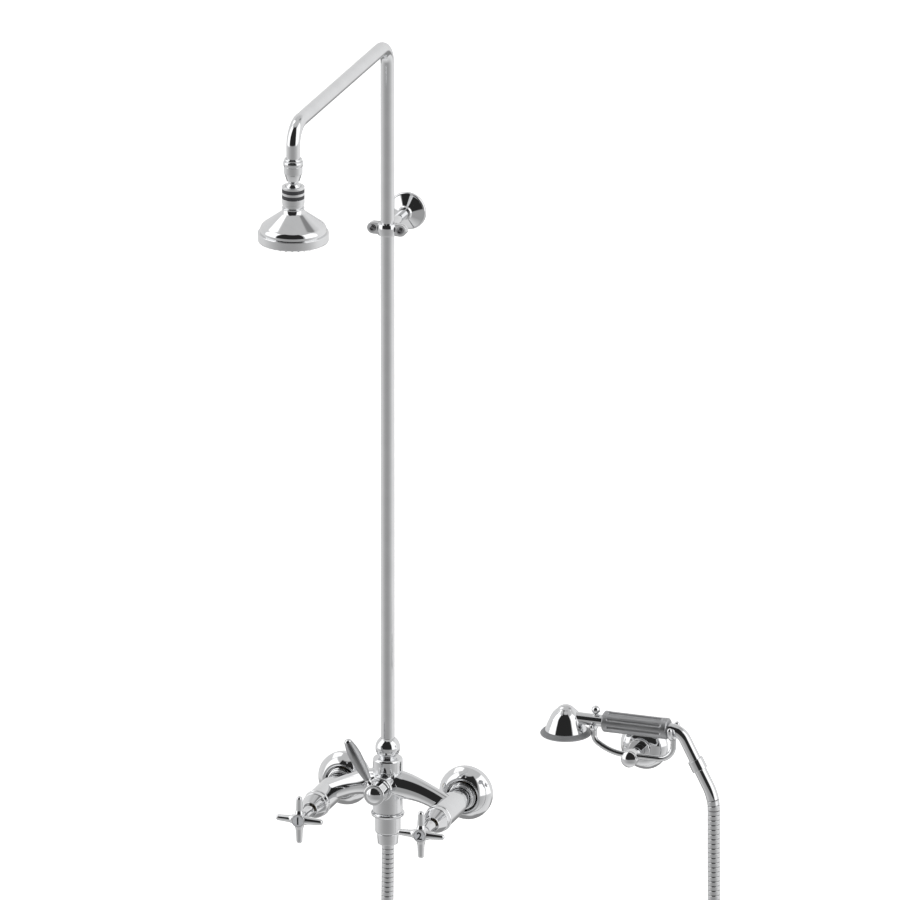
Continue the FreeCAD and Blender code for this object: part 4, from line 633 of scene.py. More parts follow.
def lay_floor():
    """A pale floor below the hose, that the chrome doesn't mirror."""
    bm = bmesh.new()
    bmesh.ops.create_grid(bm, x_segments=1, y_segments=1, size=9)
    bmesh.ops.translate(bm, verts=bm.verts[:], vec=(0, 0, -0.5))
    mesh = bpy.data.meshes.new("Floor")
    bm.to_mesh(mesh)
    bm.free()
    floor = bpy.data.objects.new("Floor", mesh)
    bpy.context.collection.objects.link(floor)
    floor.visible_glossy = False
    look = Finish("Pale floor", 0.0)
    look.tint(bpy.context.scene.column_colours.floor, 0.02, look.uneven(2)["Value"])
    look.shader.inputs["Roughness"].default_value = 0.9
    look.shader.inputs["Emission Color"].default_value = (1, 1, 1, 1)
    look.shader.inputs["Emission Strength"].default_value = 0.62
    mesh.materials.append(look.material)


class SHOWER_OT_stage(bpy.types.Operator):
    """Put the camera, the studio light and the floor in place"""

    bl_idname = "shower.stage"
    bl_label = "Stage"

    def execute(self, context):
        put_camera()
        light_studio()
        lay_floor()
        return {"FINISHED"}


# Hose


def mesh_of(curve):
    """The mesh that a curve draws. The curve itself is removed."""
    carrier = bpy.data.objects.new("carrier", curve)
    mesh = bpy.data.meshes.new_from_object(carrier)
    bpy.data.objects.remove(carrier)
    bpy.data.curves.remove(curve)
    return mesh


def read_line(points):
    """Close points along the smooth line that a few points draw."""
    curve = bpy.data.curves.new("Hose line", "CURVE")
    curve.dimensions = "3D"
    spline = curve.splines.new("NURBS")
    spline.points.add(len(points) - 1)
    for target, point in zip(spline.points, points):
        target.co = (*point, 1)
    spline.order_u = 3
    spline.use_endpoint_u = True
    spline.resolution_u = 48
    mesh = mesh_of(curve)
    line = [vert.co.copy() for vert in mesh.vertices]
    bpy.data.meshes.remove(mesh)
    return line


class Line:
    """A line that gives the place and the way ahead at each distance along it."""

    def __init__(self, points):
        self.points = [points[0]]
        self.far = [0.0]
        for point in points[1:]:
            step = (point - self.points[-1]).length
            if step > 1e-7:
                self.points.append(point)
                self.far.append(self.far[-1] + step)
        self.length = self.far[-1]

    def place(self, distance):
        after = min(max(1, bisect.bisect_left(self.far, distance)), len(self.far) - 1)
        low, high = self.far[after - 1], self.far[after]
        return self.points[after - 1].lerp(self.points[after], (distance - low) / (high - low))

    def ahead(self, distance, reach=0.002):
        low, high = max(0, distance - reach), min(self.length, distance + reach)
        return (self.place(high) - self.place(low)).normalized()


def ribbed_tube(line, s):
    """A straight ribbed tube, turned from its outline, then laid along the line, and its rings' centres."""
    crest, groove = s.hose_radius, s.hose_radius - s.hose_groove
    length = line.length * 1000
    ribs = round(length / s.hose_pitch)
    pitch = length / ribs
    profile = ((0.06, groove), (0.1, groove), (0.2, crest), (0.96, crest))
    outline = [(0, 0)]
    for rib in range(ribs):
        for share, radius in profile:
            outline.append((radius, (rib + share) * pitch))
    outline += [(groove, length), (0, length)]
    bm = turned(outline, 0.0, 28)
    # Each point's share from groove to crest, which the hose's finish uses to paint shade into the grooves
    groove_shade_layer = bm.verts.layers.float.new("rib")
    side = (line.points[-1] - line.points[0]).cross(Vector((0, 0, 1))).normalized()
    for vert in bm.verts:
        reach = math.hypot(vert.co.x, vert.co.y)
        vert[groove_shade_layer] = min(1, max(0, (reach - groove) / (crest - groove)))
    rows = {}
    for vert in bm.verts:
        rows.setdefault(round(vert.co.z, 4), []).append(vert)
    centres = []
    for height, verts in sorted(rows.items()):
        distance = min(height / 1000, line.length)
        centres.append(line.place(distance))
        ring = frame_at(centres[-1] * 1000, line.ahead(distance), side, 1)
        bmesh.ops.transform(bm, matrix=ring @ at(0, 0, -height), verts=verts)
    return bm, centres


class SHOWER_OT_hose(bpy.types.Operator):
    """Hang the ribbed hose between the mixer and the hand shower"""

    bl_idname = "shower.hose"
    bl_label = "Hose"

    def execute(self, context):
        line = Line(read_line(HOSE_POINTS))
        tube, centres = ribbed_tube(line, sizes())
        hose = piece("ribbed_hose", tube, None, ["hose"], "Hose metal", sharp=25)
        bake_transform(hose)
        return {"FINISHED"}


# Turned pieces

# Each one: its node, how far its corners are eased, its steps round, its outline and, unless it is
# chrome, its finish. Each point is its distance from the axis and its place along it, and the radius of
# an arc that ends there.
TURNED = {
    "flange": ("wall_flange", 0.2, 96, (
        (29, 0), (32, 7, 14), (32, 13), (22.6, 25.2, 34), (18.5, 23, 2.8), (18.5, 6), (10.78, 6),
        (10.78, 4), (20.5, 4), (20.5, 21.5), (28.8, 10.5), (27, 0),
    )),
    "nut": ("union_nut", 0.2, 64, (
        (13.3, 14), (15.6, 14), (16.6, 15), (16.6, 23.6), (15.6, 24.24), (15.6, 26.8), (14.6, 27.44),
        (14.6, 29.5), (14.1, 30, 0.5), (11.3, 30), (11.3, 27.1), (13.3, 27.1),
    )),
    "bonnet_cap": ("bonnet", 0.2, 64, (
        (10.3, 92.3), (12.3, 92.3), (12.3, 102), (15.3, 102), (15.3, 106, 2.5), (15.3, 112),
        (14.3, 113.5, 2), (9.2, 127.2), (8.7, 128), (8.2, 128), (8.2, 122), (4.3, 122), (4.3, 119.6),
        (10.3, 119.6),
    )),
    "disc": ("index", 0.15, 64, ((0, 168.2), (6.4, 168.2), (6.4, 169.4), (0, 169.8, 51.4)), "Index disc"),
    "diverter_cap": ("diverter_bonnet", 0.2, 64, (
        (10.3, 84.3), (12.3, 84.3), (12.3, 94), (14, 94), (14, 98, 2.5), (13.6, 98), (13.6, 102.6),
        (4.3, 102.6), (4.3, 98.3), (10.3, 98.3),
    )),
    "lever_hub": ("diverter_hub", 0.25, 80, (
        (4.05, 102.9), (12.8, 102.9), (12.8, 116.9), (11.3, 118.4, 1.5), (8.96, 118.4), (8.96, 118.92),
        (0, 121.4, 17.46), (0, 113.9), (4.05, 113.9),
    )),
    "lever_stem": ("lever_rod", 0.2, 48, (
        (0, 6.2), (3, 6.2), (3, 13.1), (4.6, 13.1), (3.3, 17, -9.2), (4.2, 18.5), (4.2, 19.4), (2.3, 19.4),
        (2.3, 70.3), (0, 70.3),
    )),
    "lever_sleeve": ("lever_grip", 0.25, 48, (
        (2.35, 19.5), (4.2, 19.5), (7.4, 50.1, 148), (4.8, 68, 64), (2.35, 68),
    ), "Satin sleeve"),
    "lever_end": ("lever_tip", 0.15, 48, (
        (2.35, 68.1), (4.8, 68.1), (4.32, 70.3, 9.2), (0, 72.6, 5.2), (0, 70.4), (2.35, 70.4),
    )),
    "collar": ("riser_collar", 0.3, 80, (
        (8.1, 33.6), (11.9, 33.6), (11.9, 39), (17.4, 39), (17.4, 52), (14.4, 55, 3), (9.8, 55),
        (9.8, 57.1), (9.3, 57.6, 0.5), (8.1, 57.6),
    )),
    "ball_nut": ("riser_ball_nut", 0.2, 80, ((8.1, 57.6), (11.04, 57.6), (8.6, 78.67, 14.5), (8.1, 78.67))),
    "outlet_body": ("lower_outlet", 0.2, 80, (
        (8, -47), (10.4, -47), (10.4, -37), (13, -37), (15, -35, 2), (15, -16.6), (17.08, -16.6),
        (17.08, -11, 2.82), (11.9, -11), (11.9, -5.6), (8, -5.6),
    )),
    "outlet_nut": ("hose_nut", 0.2, 80, (
        (4.8, -51.1), (10.9, -51.1), (11.9, -50.1, 1), (12.65, -41.65), (12.65, -38.6), (11.65, -37.6, 1),
        (10.5, -37.6), (10.5, -48.8), (4.8, -48.8),
    )),
    "bracket_rose": ("bracket_flange", 0.25, 96, (
        (5.6, 0), (22.5, 0), (22.5, 2.2), (20.3, 4.4, 2.2), (8.3, 10.3), (7.2, 12.5), (5.6, 12.5),
    )),
    "arm_nut": ("arm_end_nut", 0.15, 72, (
        (5.05, 871), (9.75, 871), (10.75, 872, 1), (10.75, 880.5), (10.25, 880.5), (10.25, 881.1),
        (11.2, 881.1), (11.2, 886.6, 7.81), (9.85, 886.6), (9.85, 889.8, 2.81), (8.1, 889.8), (8.1, 875.9),
        (5.05, 875.9),
    )),
    "ball_stud": ("head_ball", 0.15, 72, (
        (3, 843.99), (9.5, 853, 9.5), (4.7, 861.26, 9.5), (4.7, 862), (7.5, 863), (9.75, 870), (9.75, 871),
        (5, 871), (5, 875.9), (3, 875.9),
    )),
    "socket_nut": ("head_socket_nut", 0.15, 80, (
        (10, 836), (13.05, 836), (13.05, 842), (12.25, 842), (12.25, 846.3), (13.05, 846.3), (13.05, 849.3),
        (12.25, 849.3), (12.25, 853.6), (13.05, 853.6), (13.05, 855.9), (12.55, 856.4, 0.5), (9.19, 856.4),
        (9.7, 854.36, -9.8), (10.79, 854.52), (10.9, 853, -10.9), (10, 848.66, -10.9),
    )),
    "head_bell": ("head_shell", 0.2, 128, (
        (36.8, 800.91), (38.4, 800.91), (38.4, 804.01), (34.5, 810.4, 8), (16.5, 823.6),
        (12.3, 829.2, -8.5), (12.7, 829.5), (12.7, 831, 0.9), (11, 831.3), (11, 833.1), (12.6, 833.5),
        (12.6, 836), (9.9, 836), (9.9, 841.5), (4, 841.5), (4, 822.8), (12.4, 821.2), (31.9, 807.8),
        (36.8, 803.21, -7.84),
    )),
    "head_plate": ("head_face", 0.2, 128, (
        (0, HEAD_FACE_HEIGHT), (39.4, HEAD_FACE_HEIGHT), (40.9, 791.7, 1.5), (40.9, 800.16),
        (40.15, 800.91, 0.75), (34.9, 800.91), (34.9, 794.41), (0, 794.41),
    )),
    "cradle_rose": ("cradle_flange", 0.25, 96, (
        (7.1, 0), (27, 0), (28.6, 3, 3), (28.6, 6), (13, 17.5, 18.5), (13, 22), (12, 23, 1), (7.1, 23),
    )),
    "cradle_stem": ("cradle_post", 0.2, 56, (
        (2.55, 0.5), (7, 0.5), (7, 43.7), (6, 44.7, 1), (3, 44.7), (3, 57.2), (0, 57.2), (0, 16.3),
        (2.55, 16.3),
    )),
    "cradle_button": ("cradle_knob", 0.2, 56, (
        (3.1, 55.3), (8.5, 55.3), (9.5, 56.3, 1), (9.5, 58.5), (0, 62.4, 13.52), (0, 57.3), (3.1, 57.3),
    )),
    "finial": ("handset_finial", 0.1, 56, (
        (0, 6), (2, 6), (2, 7.4), (2.2, 7.4), (2.2, 7.84), (5.15, 12.5, 5.15), (0, 17.65, 5.15),
    )),
    "rim": ("handset_rim", 0.3, 96, (
        (18.5, -21.8), (27.7, -21.8), (29.8, -19.7, 2.1), (25.2, -15.8, 10), (18.5, -15.8),
    ), "Grey rim"),
    "spray_plate": ("handset_face", 0.2, 80, (
        (0, -21.3), (18.45, -21.3), (18.45, -19), (0, -19),
    ), "Grey face"),
    "hose_collar": ("handset_nut", 0.15, 64, (
        (7.1, 0), (8.75, 0), (9.25, 0.5, 0.5), (9.25, 12.8), (8.75, 13.3, 0.5), (7.5, 13.3), (7.5, 8.1),
        (7.1, 8.1),
    )),
}


# Wall inlets and mixer


def inlets():
    """Each inlet's side, hot on the left and cold on the right, and its place."""
    half = sizes().inlet_spacing / 2
    return ("hot_", at(-half, 0, 0, OUT)), ("cold_", at(half, 0, 0, OUT))


class SHOWER_OT_inlets(bpy.types.Operator):
    """Model the flanges and nuts that join the mixer to the wall"""

    bl_idname = "shower.inlets"
    bl_label = "Wall inlets"

    def execute(self, context):
        for side, place in inlets():
            lathe("column", place, "flange", "nut", side=side)
        return {"FINISHED"}


def arch_arm(half, distance):
    """One arm of the arch, thick at its root and thinner at the valve tube."""
    rings = []
    for step in range(23):
        share = 0.93 * step / 22
        thick = 11.5 + 4.5 * math.exp(-(((share - 0.15) / 0.38) ** 2))
        middle = Vector((half * share, -distance, 24 - 22 * share**2))
        rings.append(frame_at(middle, Vector((half, 0, -44 * share)), Vector((0, 1, 0)), thick))
    return swept(rings, 64)


class SHOWER_OT_mixer(bpy.types.Operator):
    """Model the mixer's casting: two valve tubes, the arch and the centre"""

    bl_idname = "shower.mixer"
    bl_label = "Mixer body"

    def execute(self, context):
        tube = [
            (0, 24), (13.2, 24), (13.2, 27), (11, 27), (11, 30.3), (12.5, 30.3), (13.5, 31.3, 1),
            (13.5, 53), (14.3, 53), (15.3, 54, 1), (15.3, 102), (12.6, 102), (12.6, 92), (0, 92),
        ]
        centre = [(0, -11), (17.5, -11), (17.5, 39), (12, 39), (12, 34), (0, 34)]
        boss = [(0, 70), (14.5, 70), (14.5, 94), (12.6, 94), (12.6, 84), (0, 84)]
        s = sizes()
        half, distance = s.inlet_spacing / 2, s.riser_distance
        shells = [
            (turned(centre, 0.6, 96), at(0, -distance, 0)),
            (turned(boss, 0.2, 80), at(0, 0, DIVERTER_HEIGHT, OUT)),
        ]
        for across in (-half, half):
            shells.append((turned(tube, 0.2, 80), at(across, 0, 0, OUT)))
            shells.append((arch_arm(across, distance), UP))
        piece("mixer_casting", gather(*shells), "column", ["mixer_body"])
        return {"FINISHED"}


# Taps and diverter


def cross_handle():
    """A cross handle: a waisted hub with four arms that end in small knobs."""
    hub = [
        (4.05, 131), (6.45, 131), (6.45, 133.55), (5.6, 139.2, -24.6), (8.2, 159.5, -49.2), (8.2, 168.65),
        (7.35, 169.5, 0.85), (6.5, 169.5), (6.5, 168.2), (4.2, 168.2), (4.2, 160.3), (2.1, 160.3),
        (2.1, 158), (4.05, 158),
    ]
    arm = [(0, 5), (5.4, 5), (5.4, 8.2), (4.3, 12.5, -10.75), (3.5, 25.5), (0, 29, 3.5)]
    shells = [(turned(hub), UP)]
    for quarter in range(4):
        shells.append((turned(arm, 0.3, 40), turn_about("Z", 90 * quarter) @ at(0, 0, 164, ALONG)))
    return gather(*shells)


class SHOWER_OT_taps(bpy.types.Operator):
    """Model the bonnets, cross handles and index discs of the two taps"""

    bl_idname = "shower.taps"
    bl_label = "Taps"

    def execute(self, context):
        for side, place in inlets():
            lathe("column", place, "bonnet_cap", side=side)
            piece(f"{side}cross", cross_handle(), f"{side}tap", [f"{side}handle"], place=place)
            lathe(f"{side}tap", place, "disc", side=side)
        return {"FINISHED"}


def numeral(text):
    """A flat number in the middle of an index disc."""
    curve = bpy.data.curves.new(text, "FONT")
    curve.body = text
    curve.size = MARK_SIZE
    curve.offset = 0.3
    curve.resolution_u = 6
    flat = mesh_of(curve)
    bm = bmesh.new()
    bm.from_mesh(flat)
    bpy.data.meshes.remove(flat)
    bmesh.ops.remove_doubles(bm, verts=bm.verts[:], dist=1e-4)
    middle = [sum(f(v.co[axis] for v in bm.verts) for f in (min, max)) / 2 for axis in (0, 1)]
    bmesh.ops.translate(bm, verts=bm.verts[:], vec=(-middle[0], -middle[1], 0))
    thicken(bm, bm.faces[:], (0, 0, MARK_THICKNESS))
    return bm


class SHOWER_OT_marks(bpy.types.Operator):
    """Number the index discs: 1 for hot on the left, 2 for cold on the right"""

    bl_idname = "shower.marks"
    bl_label = "Marks"

    def execute(self, context):
        for (side, place), text in zip(inlets(), ("1", "2")):
            mark_place = place @ at(0, 0, MARK_HEIGHT)
            piece(f"{side}mark", numeral(text), f"{side}tap", (), "Black mark", mark_place)
        return {"FINISHED"}


class SHOWER_OT_diverter(bpy.types.Operator):
    """Model the diverter's bonnet, hub and lever"""

    bl_idname = "shower.diverter"
    bl_label = "Diverter"

    def execute(self, context):
        place = at(0, 0, DIVERTER_HEIGHT, OUT)
        lathe("column", place, "diverter_cap")
        lathe("diverter", place, "lever_hub")
        lean = at(0, -LEVER_DISTANCE, DIVERTER_HEIGHT, turn_about("Y", -LEVER_LEAN))
        lathe("diverter", lean, "lever_stem", "lever_sleeve", "lever_end")
        return {"FINISHED"}


# Riser, outlet and bracket


class SHOWER_OT_riser(bpy.types.Operator):
    """Model the collar and nut, and the bent tube of the riser and shower arm"""

    bl_idname = "shower.riser"
    bl_label = "Riser"

    def execute(self, context):
        s = sizes()
        base = at(0, -s.riser_distance, 0)
        lathe("column", base, "collar", "ball_nut")
        bend, reach, height = s.pipe_bend, s.arm_reach, s.arm_height
        path = [
            (0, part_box("riser_pipe")[0][2] * 1000),
            (0, height - bend),
            (bend, height, -bend),
            (reach - bend, height),
            (reach, height - bend, -bend),
            (reach, ARM_END_HEIGHT),
        ]
        tube = bar(path, s.pipe_radius, 64)
        piece("riser_tube", tube, "column", ["riser_pipe"], place=base @ SIDEWAYS)
        return {"FINISHED"}


class SHOWER_OT_outlet(bpy.types.Operator):
    """Model the lower outlet and the nut of the hose"""

    bl_idname = "shower.outlet"
    bl_label = "Lower outlet"

    def execute(self, context):
        lathe("column", at(0, -sizes().riser_distance, 0), "outlet_body", "outlet_nut")
        return {"FINISHED"}


def clamp_ring(front):
    """Half of the ring round the riser, with an ear on each side."""
    turn = turn_about("Z", 0 if front else 180)
    bm = bmesh.new()
    wire(bm, [(8.05, -7), (11, -7), (11, 7, 25), (8.05, 7)], 0.3)
    bmesh.ops.transform(bm, matrix=turn_about("Z", -CLAMP_GAP), verts=bm.verts[:])
    start = bm.edges[:]
    made = bmesh.ops.spin(
        bm, geom=bm.verts[:] + bm.edges[:], cent=(0, 0, 0), axis=(0, 0, 1), dvec=(0, 0, 0),
        angle=-math.radians(180 - 2 * CLAMP_GAP), steps=40, use_merge=False,
    )
    bmesh.ops.edgeloop_fill(bm, edges=start)
    bmesh.ops.edgeloop_fill(bm, edges=only(bmesh.types.BMEdge, made["geom_last"]))
    ears = []
    for way in (1, -1):
        screw = CLAMP_SCREW_OFFSET
        corners = ((screw, -7), (screw + 7, 0, 7), (screw, 7, 7), (9.5, 7), (9.5, -7), (screw, -7))
        outline = [(way * across, way * up, *radius) for across, up, *radius in corners]
        ears.append((padded(outline, 3.7, 0.4), turn @ at(0, -0.3, 0)))
    return gather((bm, turn), *ears)


class SHOWER_OT_bracket(bpy.types.Operator):
    """Model the upper bracket: wall flange, rod, clamp and its screws"""

    bl_idname = "shower.bracket"
    bl_label = "Wall bracket"

    def execute(self, context):
        s = sizes()
        wall = at(0, 0, s.bracket_height, OUT)
        riser = at(0, -s.riser_distance, s.bracket_height)
        lathe("column", wall, "bracket_rose")
        rod = turned([(0, 0.5), (5.5, 0.5), (5.5, 61), (0, 61)], 0.3, 56)
        piece("clamp_back", gather((clamp_ring(False), riser), (rod, wall)), "column", ["clamp_rear"])
        piece("clamp_cap", clamp_ring(True), "column", ["clamp_front"], place=riser)
        head = [(0, 66), (2, 66), (2, 74), (4.2, 74), (4.2, 75.2), (2.1, 76.4, 4.2), (2.1, 74.6), (0, 74.6)]
        screws = [
            (turned(head, 0.15, 48), wall @ at(across, 0, 0))
            for across in (-CLAMP_SCREW_OFFSET, CLAMP_SCREW_OFFSET)
        ]
        piece("bracket_screws", gather(*screws), "column", ["clamp_screws"], "Steel")
        return {"FINISHED"}


# Overhead shower


def head_place():
    s = sizes()
    return at(0, -s.riser_distance - s.arm_reach, 0)


class SHOWER_OT_swivel(bpy.types.Operator):
    """Model the nut at the arm's end, the ball stud, and the socket nut with its bands"""

    bl_idname = "shower.swivel"
    bl_label = "Swivel"

    def execute(self, context):
        place = head_place()
        lathe("column", place, "arm_nut", "ball_stud")
        lathe("head", place, "socket_nut")
        bands = []
        for low in SOCKET_BAND_LOWS:
            band = [(12.3, low + 0.05), (13.0, low + 0.05), (13.0, low + 4.25), (12.3, low + 4.25)]
            bands.append((turned(band, 0.2, 80), UP))
        piece("socket_rings", gather(*bands), "head", ["socket_bands"], "Dark band", place)
        return {"FINISHED"}


def nozzle_rings(rings, step, length=1.7):
    """Rings of small cones that point down from a spray face, in one mesh."""
    whole = bmesh.new()
    for number in range(rings):
        count = max(1, 6 * number)
        for turn in range(count):
            angle = TAU * turn / count
            middle = (number * step * math.cos(angle), number * step * math.sin(angle), -length / 2)
            bmesh.ops.create_cone(
                whole, cap_ends=True, segments=12, radius1=0.77, radius2=1.1, depth=length,
                matrix=Matrix.Translation(middle),
            )
    return whole


class SHOWER_OT_head(bpy.types.Operator):
    """Model the overhead shower's shell, spray face and nozzles"""

    bl_idname = "shower.head"
    bl_label = "Overhead shower"

    def execute(self, context):
        place = head_place()
        lathe("head", place, "head_bell", "head_plate")
        cones = nozzle_rings(6, 6.8, 2.4)
        face = place @ at(0, 0, HEAD_FACE_HEIGHT)
        piece("head_jets", cones, "head", ["head_nozzles"], "Nozzle rubber", face)
        return {"FINISHED"}


# Cradle


def fork_shapes():
    """The bent wires of the cradle's fork, about the post's axis, in its own plane."""
    wire_radius, tine = 3.4, 3.15
    crutch, yoke = 10.7, 13.0
    rise, low = 41, 30.05
    sweep, knee = 60, 12
    sine, cosine = math.sin(math.radians(35)), math.cos(math.radians(35))
    first = (6 + sweep * sine, 2.9 + sweep * (1 - cosine))
    crutch_x = first[0] + knee * (1 - sine)
    left = [
        (-4, 2.9), (-6, 2.9), (-first[0], first[1], -sweep), (-crutch_x, first[1] + knee * cosine, -knee),
        (-crutch_x, rise - crutch),
    ]
    spread = math.radians(55)
    side, up = crutch * math.sin(spread), rise - crutch * math.cos(spread)
    cup = [(-side, up), (0, rise - crutch, crutch), (side, up, crutch)]
    right = [(4, 2.9), (33.5, 2.9), (52, 21.4, 18.5), (52, low)]
    tips = low + yoke + 3.4 - tine
    horns = [(-yoke, tips), (-yoke, low + yoke), (0, low, yoke), (yoke, low + yoke, yoke), (yoke, tips)]
    eye = turned([(3.1, -5.2), (8.5, -5.2), (9.5, -4.2, 1), (9.5, 4.2), (8.5, 5.2, 1), (3.1, 5.2)], 0.2, 56)
    return gather(
        (eye, OUT),
        (bar(left, wire_radius, 32), UP),
        (bar(right, wire_radius, 32), UP),
        (bar(cup, wire_radius, 32, True), at(-crutch_x, 0, 0, SIDEWAYS)),
        (bar(horns, tine, 32, True), at(52, 0, 0, SIDEWAYS)),
    )


class SHOWER_OT_cradle(bpy.types.Operator):
    """Model the hand shower's cradle: wall flange, post, fork and knob"""

    bl_idname = "shower.cradle"
    bl_label = "Cradle"

    def execute(self, context):
        s = sizes()
        wall = at(s.cradle_distance, 0, s.cradle_height, OUT)
        lathe("column", wall, "cradle_rose", "cradle_stem", "cradle_button")
        eye = at(s.cradle_distance, -s.handset_distance, s.cradle_height)
        piece("fork", fork_shapes(), "column", ["cradle_fork"], place=eye)
        return {"FINISHED"}


# Hand shower


def handset_place(offset, turn=UP):
    """A place on the hand shower's axis, so far from the cradle's post."""
    s = sizes()
    return at(s.cradle_distance + offset, -s.handset_distance, s.handset_height, turn)


class SHOWER_OT_hand_shower(bpy.types.Operator):
    """Model the hand shower's bell, stem, finial, rim, spray face and nozzles"""

    bl_idname = "shower.hand_shower"
    bl_label = "Hand shower"

    def execute(self, context):
        place = handset_place(BELL_OFFSET)
        dome = [
            (22.5, -15.8), (24.3, -15.8), (19.2, -2.8, 72.9), (10.8, 9, 24.3), (0, 14.4, 13.5), (0, 12.6),
            (9.36, 7.74, -11.44), (17.4, -3.25, -24.3),
        ]
        stem = [(0, 7), (7, 7), (7, 47), (5.1, 47), (5.1, 40), (0, 40)]
        seat = [(0, 5), (3.4, 5), (3.4, 7.4), (0, 7.4)]
        bell = gather(
            (turned(dome, 0.2, 96), UP),
            (turned(stem, 0.2, 64), ALONG),
            (turned(seat, 0.3, 40), at(FINIAL_OFFSET - BELL_OFFSET, 0, 0)),
        )
        piece("bell", bell, "handset", ["handset_bell"], place=place)
        lathe("handset", handset_place(FINIAL_OFFSET), "finial")
        lathe("handset", place, "rim", "spray_plate")
        cones = nozzle_rings(4, 4.6)
        piece("spray_jets", cones, "handset", ["handset_nozzles"], "Nozzle rubber", place @ at(0, 0, -21.3))
        return {"FINISHED"}


def fluted_barrel(count):
    """A barrel whose flutes are pressed in by moving its outer points towards the axis."""
    radius, flute, offset = 12.4, 3.2, 14
    start, end = 5.6, 74.0
    heights = [1.4] + [start + 3.2 * (1 - math.cos(math.radians(t))) for t in range(0, 91, 10)]
    heights += [8.8 + (70.8 - 8.8) * k / 24 for k in range(1, 24)]
    heights += [end - 3.2 * (1 - math.cos(math.radians(t))) for t in range(90, -1, -10)]
    outline = [(5.1, 0), (11, 0)] + [(radius, h) for h in heights] + [(radius, 78.2), (11, 79.6), (5.1, 79.6)]
    bm = turned(outline, 0.3, 40 * count)
    for vert in bm.verts:
        reach, height = math.hypot(vert.co.x, vert.co.y), vert.co.z
        if reach < radius - 0.01 or not start < height < end:
            continue
        deep = flute
        for edge in (start + flute - height, height - end + flute):
            if edge > 0:
                deep = math.sqrt(max(flute * flute - edge * edge, 0))
        angle = math.atan2(vert.co.y, vert.co.x) % (TAU / count)
        angle = min(angle, TAU / count - angle)
        across = offset * math.sin(angle)
        if across < deep:
            inner = offset * math.cos(angle) - math.sqrt(deep * deep - across * across)
            if inner < radius:
                vert.co.x, vert.co.y = vert.co.x * inner / reach, vert.co.y * inner / reach
    return bm


class SHOWER_OT_grip(bpy.types.Operator):
    """Model the fluted grip"""

    bl_idname = "shower.grip"
    bl_label = "Grip"

    def execute(self, context):
        barrel = fluted_barrel(context.scene.column_sizes.flutes)
        place = handset_place(GRIP_OFFSET, ALONG)
        piece("grip", barrel, "handset", ["handset_grip"], "Satin grip", place, 30)
        return {"FINISHED"}


class SHOWER_OT_elbow(bpy.types.Operator):
    """Model the bent tube behind the grip, its nut and the connector of the hose"""

    bl_idname = "shower.elbow"
    bl_label = "Elbow and connector"

    def execute(self, context):
        slope = math.radians(62.2)
        ahead, down = math.cos(slope), math.sin(slope)
        corner = handset_place(ELBOW_OFFSET)

        def down_slope(far):
            """The point so far down the tube's slope from its corner."""
            return far * ahead, -far * down

        tube_end, tube_radius, bend, nut_start = 46, 7, 20, 38
        reach = bend * (1 - ahead) / down
        path = [(-14.5, 0), (-reach, 0), (*down_slope(reach), -bend), down_slope(tube_end)]
        core = turned([(3.5, -8), (5, -8), (5, 80.6), (3.5, 80.6)], 0.2, 40)
        whole = gather((bar(path, tube_radius, 56), corner), (core, handset_place(GRIP_OFFSET, ALONG)))
        piece("elbow", whole, "handset", ["handset_tube"])
        across, up = down_slope(nut_start)
        lathe("handset", corner @ at(across, 0, up, Matrix.Rotation(slope + TAU / 4, 4, "Y")), "hose_collar")

        # The connector goes on down the slope and turns to hang down where the hose begins
        hose_across, hose_up, connector_radius, cuff_length = 40.8, -92.8, 7.3, 0.013
        meet = hose_across / ahead
        route = [
            down_slope(tube_end + 0.2), down_slope(meet - 31), (hose_across, -meet * down),
            (hose_across, hose_up),
        ]
        points = read_line([corner @ Vector((across, 0, up)) * MM for across, up in route])
        cut = next(index for index, point in enumerate(points) if point.z < points[-1].z + cuff_length)
        line = Line(points[:cut + 1])
        rings, side = [], Vector((0, 1, 0))
        for step in range(25):
            far = line.length * step / 24
            rings.append(frame_at(line.place(far) * 1000, line.ahead(far), side, connector_radius))
        piece("connector", swept(rings, 56), "handset")
        cuff, _ = ribbed_tube(Line(points[cut:]), sizes())
        piece("hose_cuff", cuff, "handset", ["hose_connector"], "Hose metal", sharp=25)
        return {"FINISHED"}


# Parts that stay as they are


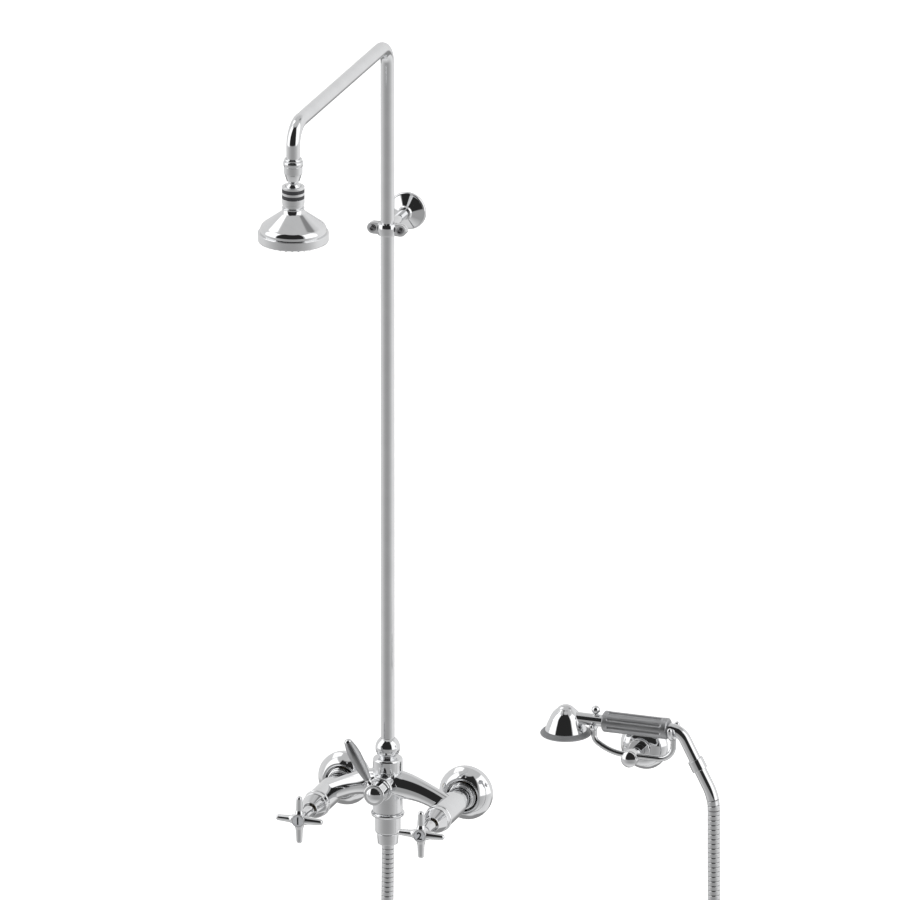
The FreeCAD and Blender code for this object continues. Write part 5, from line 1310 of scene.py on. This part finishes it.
class SHOWER_OT_inner_parts(bpy.types.Operator):
    """Give the parts that are kept from the frame their own finishes"""

    bl_idname = "shower.inner_parts"
    bl_label = "Inner parts"

    def execute(self, context):
        looks = {row[0]: name for name, row in FINISHES.items()}
        slots = {part["node"]: part["material_slot"] for part in frame["record"]["subparts"]}
        for name, thing in frame["nodes"].items():
            look = finish(looks.get(slots.get(name), "Chrome"))
            thing.data.materials.clear()
            thing.data.materials.append(look)
        return {"FINISHED"}


# Sidebar

OPERATORS = (
    SHOWER_OT_stage, SHOWER_OT_hose, SHOWER_OT_inner_parts, SHOWER_OT_inlets, SHOWER_OT_mixer,
    SHOWER_OT_taps, SHOWER_OT_marks, SHOWER_OT_diverter, SHOWER_OT_riser, SHOWER_OT_outlet,
    SHOWER_OT_bracket, SHOWER_OT_swivel, SHOWER_OT_head, SHOWER_OT_cradle, SHOWER_OT_hand_shower,
    SHOWER_OT_grip, SHOWER_OT_elbow,
)


class SHOWER_PT_column(bpy.types.Panel):
    """Lists the sizes, the colours and the steps that build the column"""

    bl_idname = "SHOWER_PT_column"
    bl_label = "Shower Column"
    bl_space_type = "VIEW_3D"
    bl_region_type = "UI"
    bl_category = "Shower"

    def draw(self, context):
        for group in (context.scene.column_sizes, context.scene.column_colours):
            box = self.layout.box()
            for name in group.__annotations__:
                box.prop(group, name)
        for operator in OPERATORS:
            self.layout.operator(operator.bl_idname)


CLASSES = (ColumnSizes, ColumnColours, *OPERATORS, SHOWER_PT_column)


def register():
    for kind in CLASSES:
        bpy.utils.register_class(kind)
    bpy.types.Scene.column_sizes = bpy.props.PointerProperty(type=ColumnSizes)
    bpy.types.Scene.column_colours = bpy.props.PointerProperty(type=ColumnColours)


def unregister():
    del bpy.types.Scene.column_colours
    del bpy.types.Scene.column_sizes
    for kind in reversed(CLASSES):
        bpy.utils.unregister_class(kind)


def main():
    register()
    for operator in OPERATORS:
        getattr(bpy.ops.shower, operator.bl_idname.split(".")[1])()


if __name__ == "__main__":
    main()
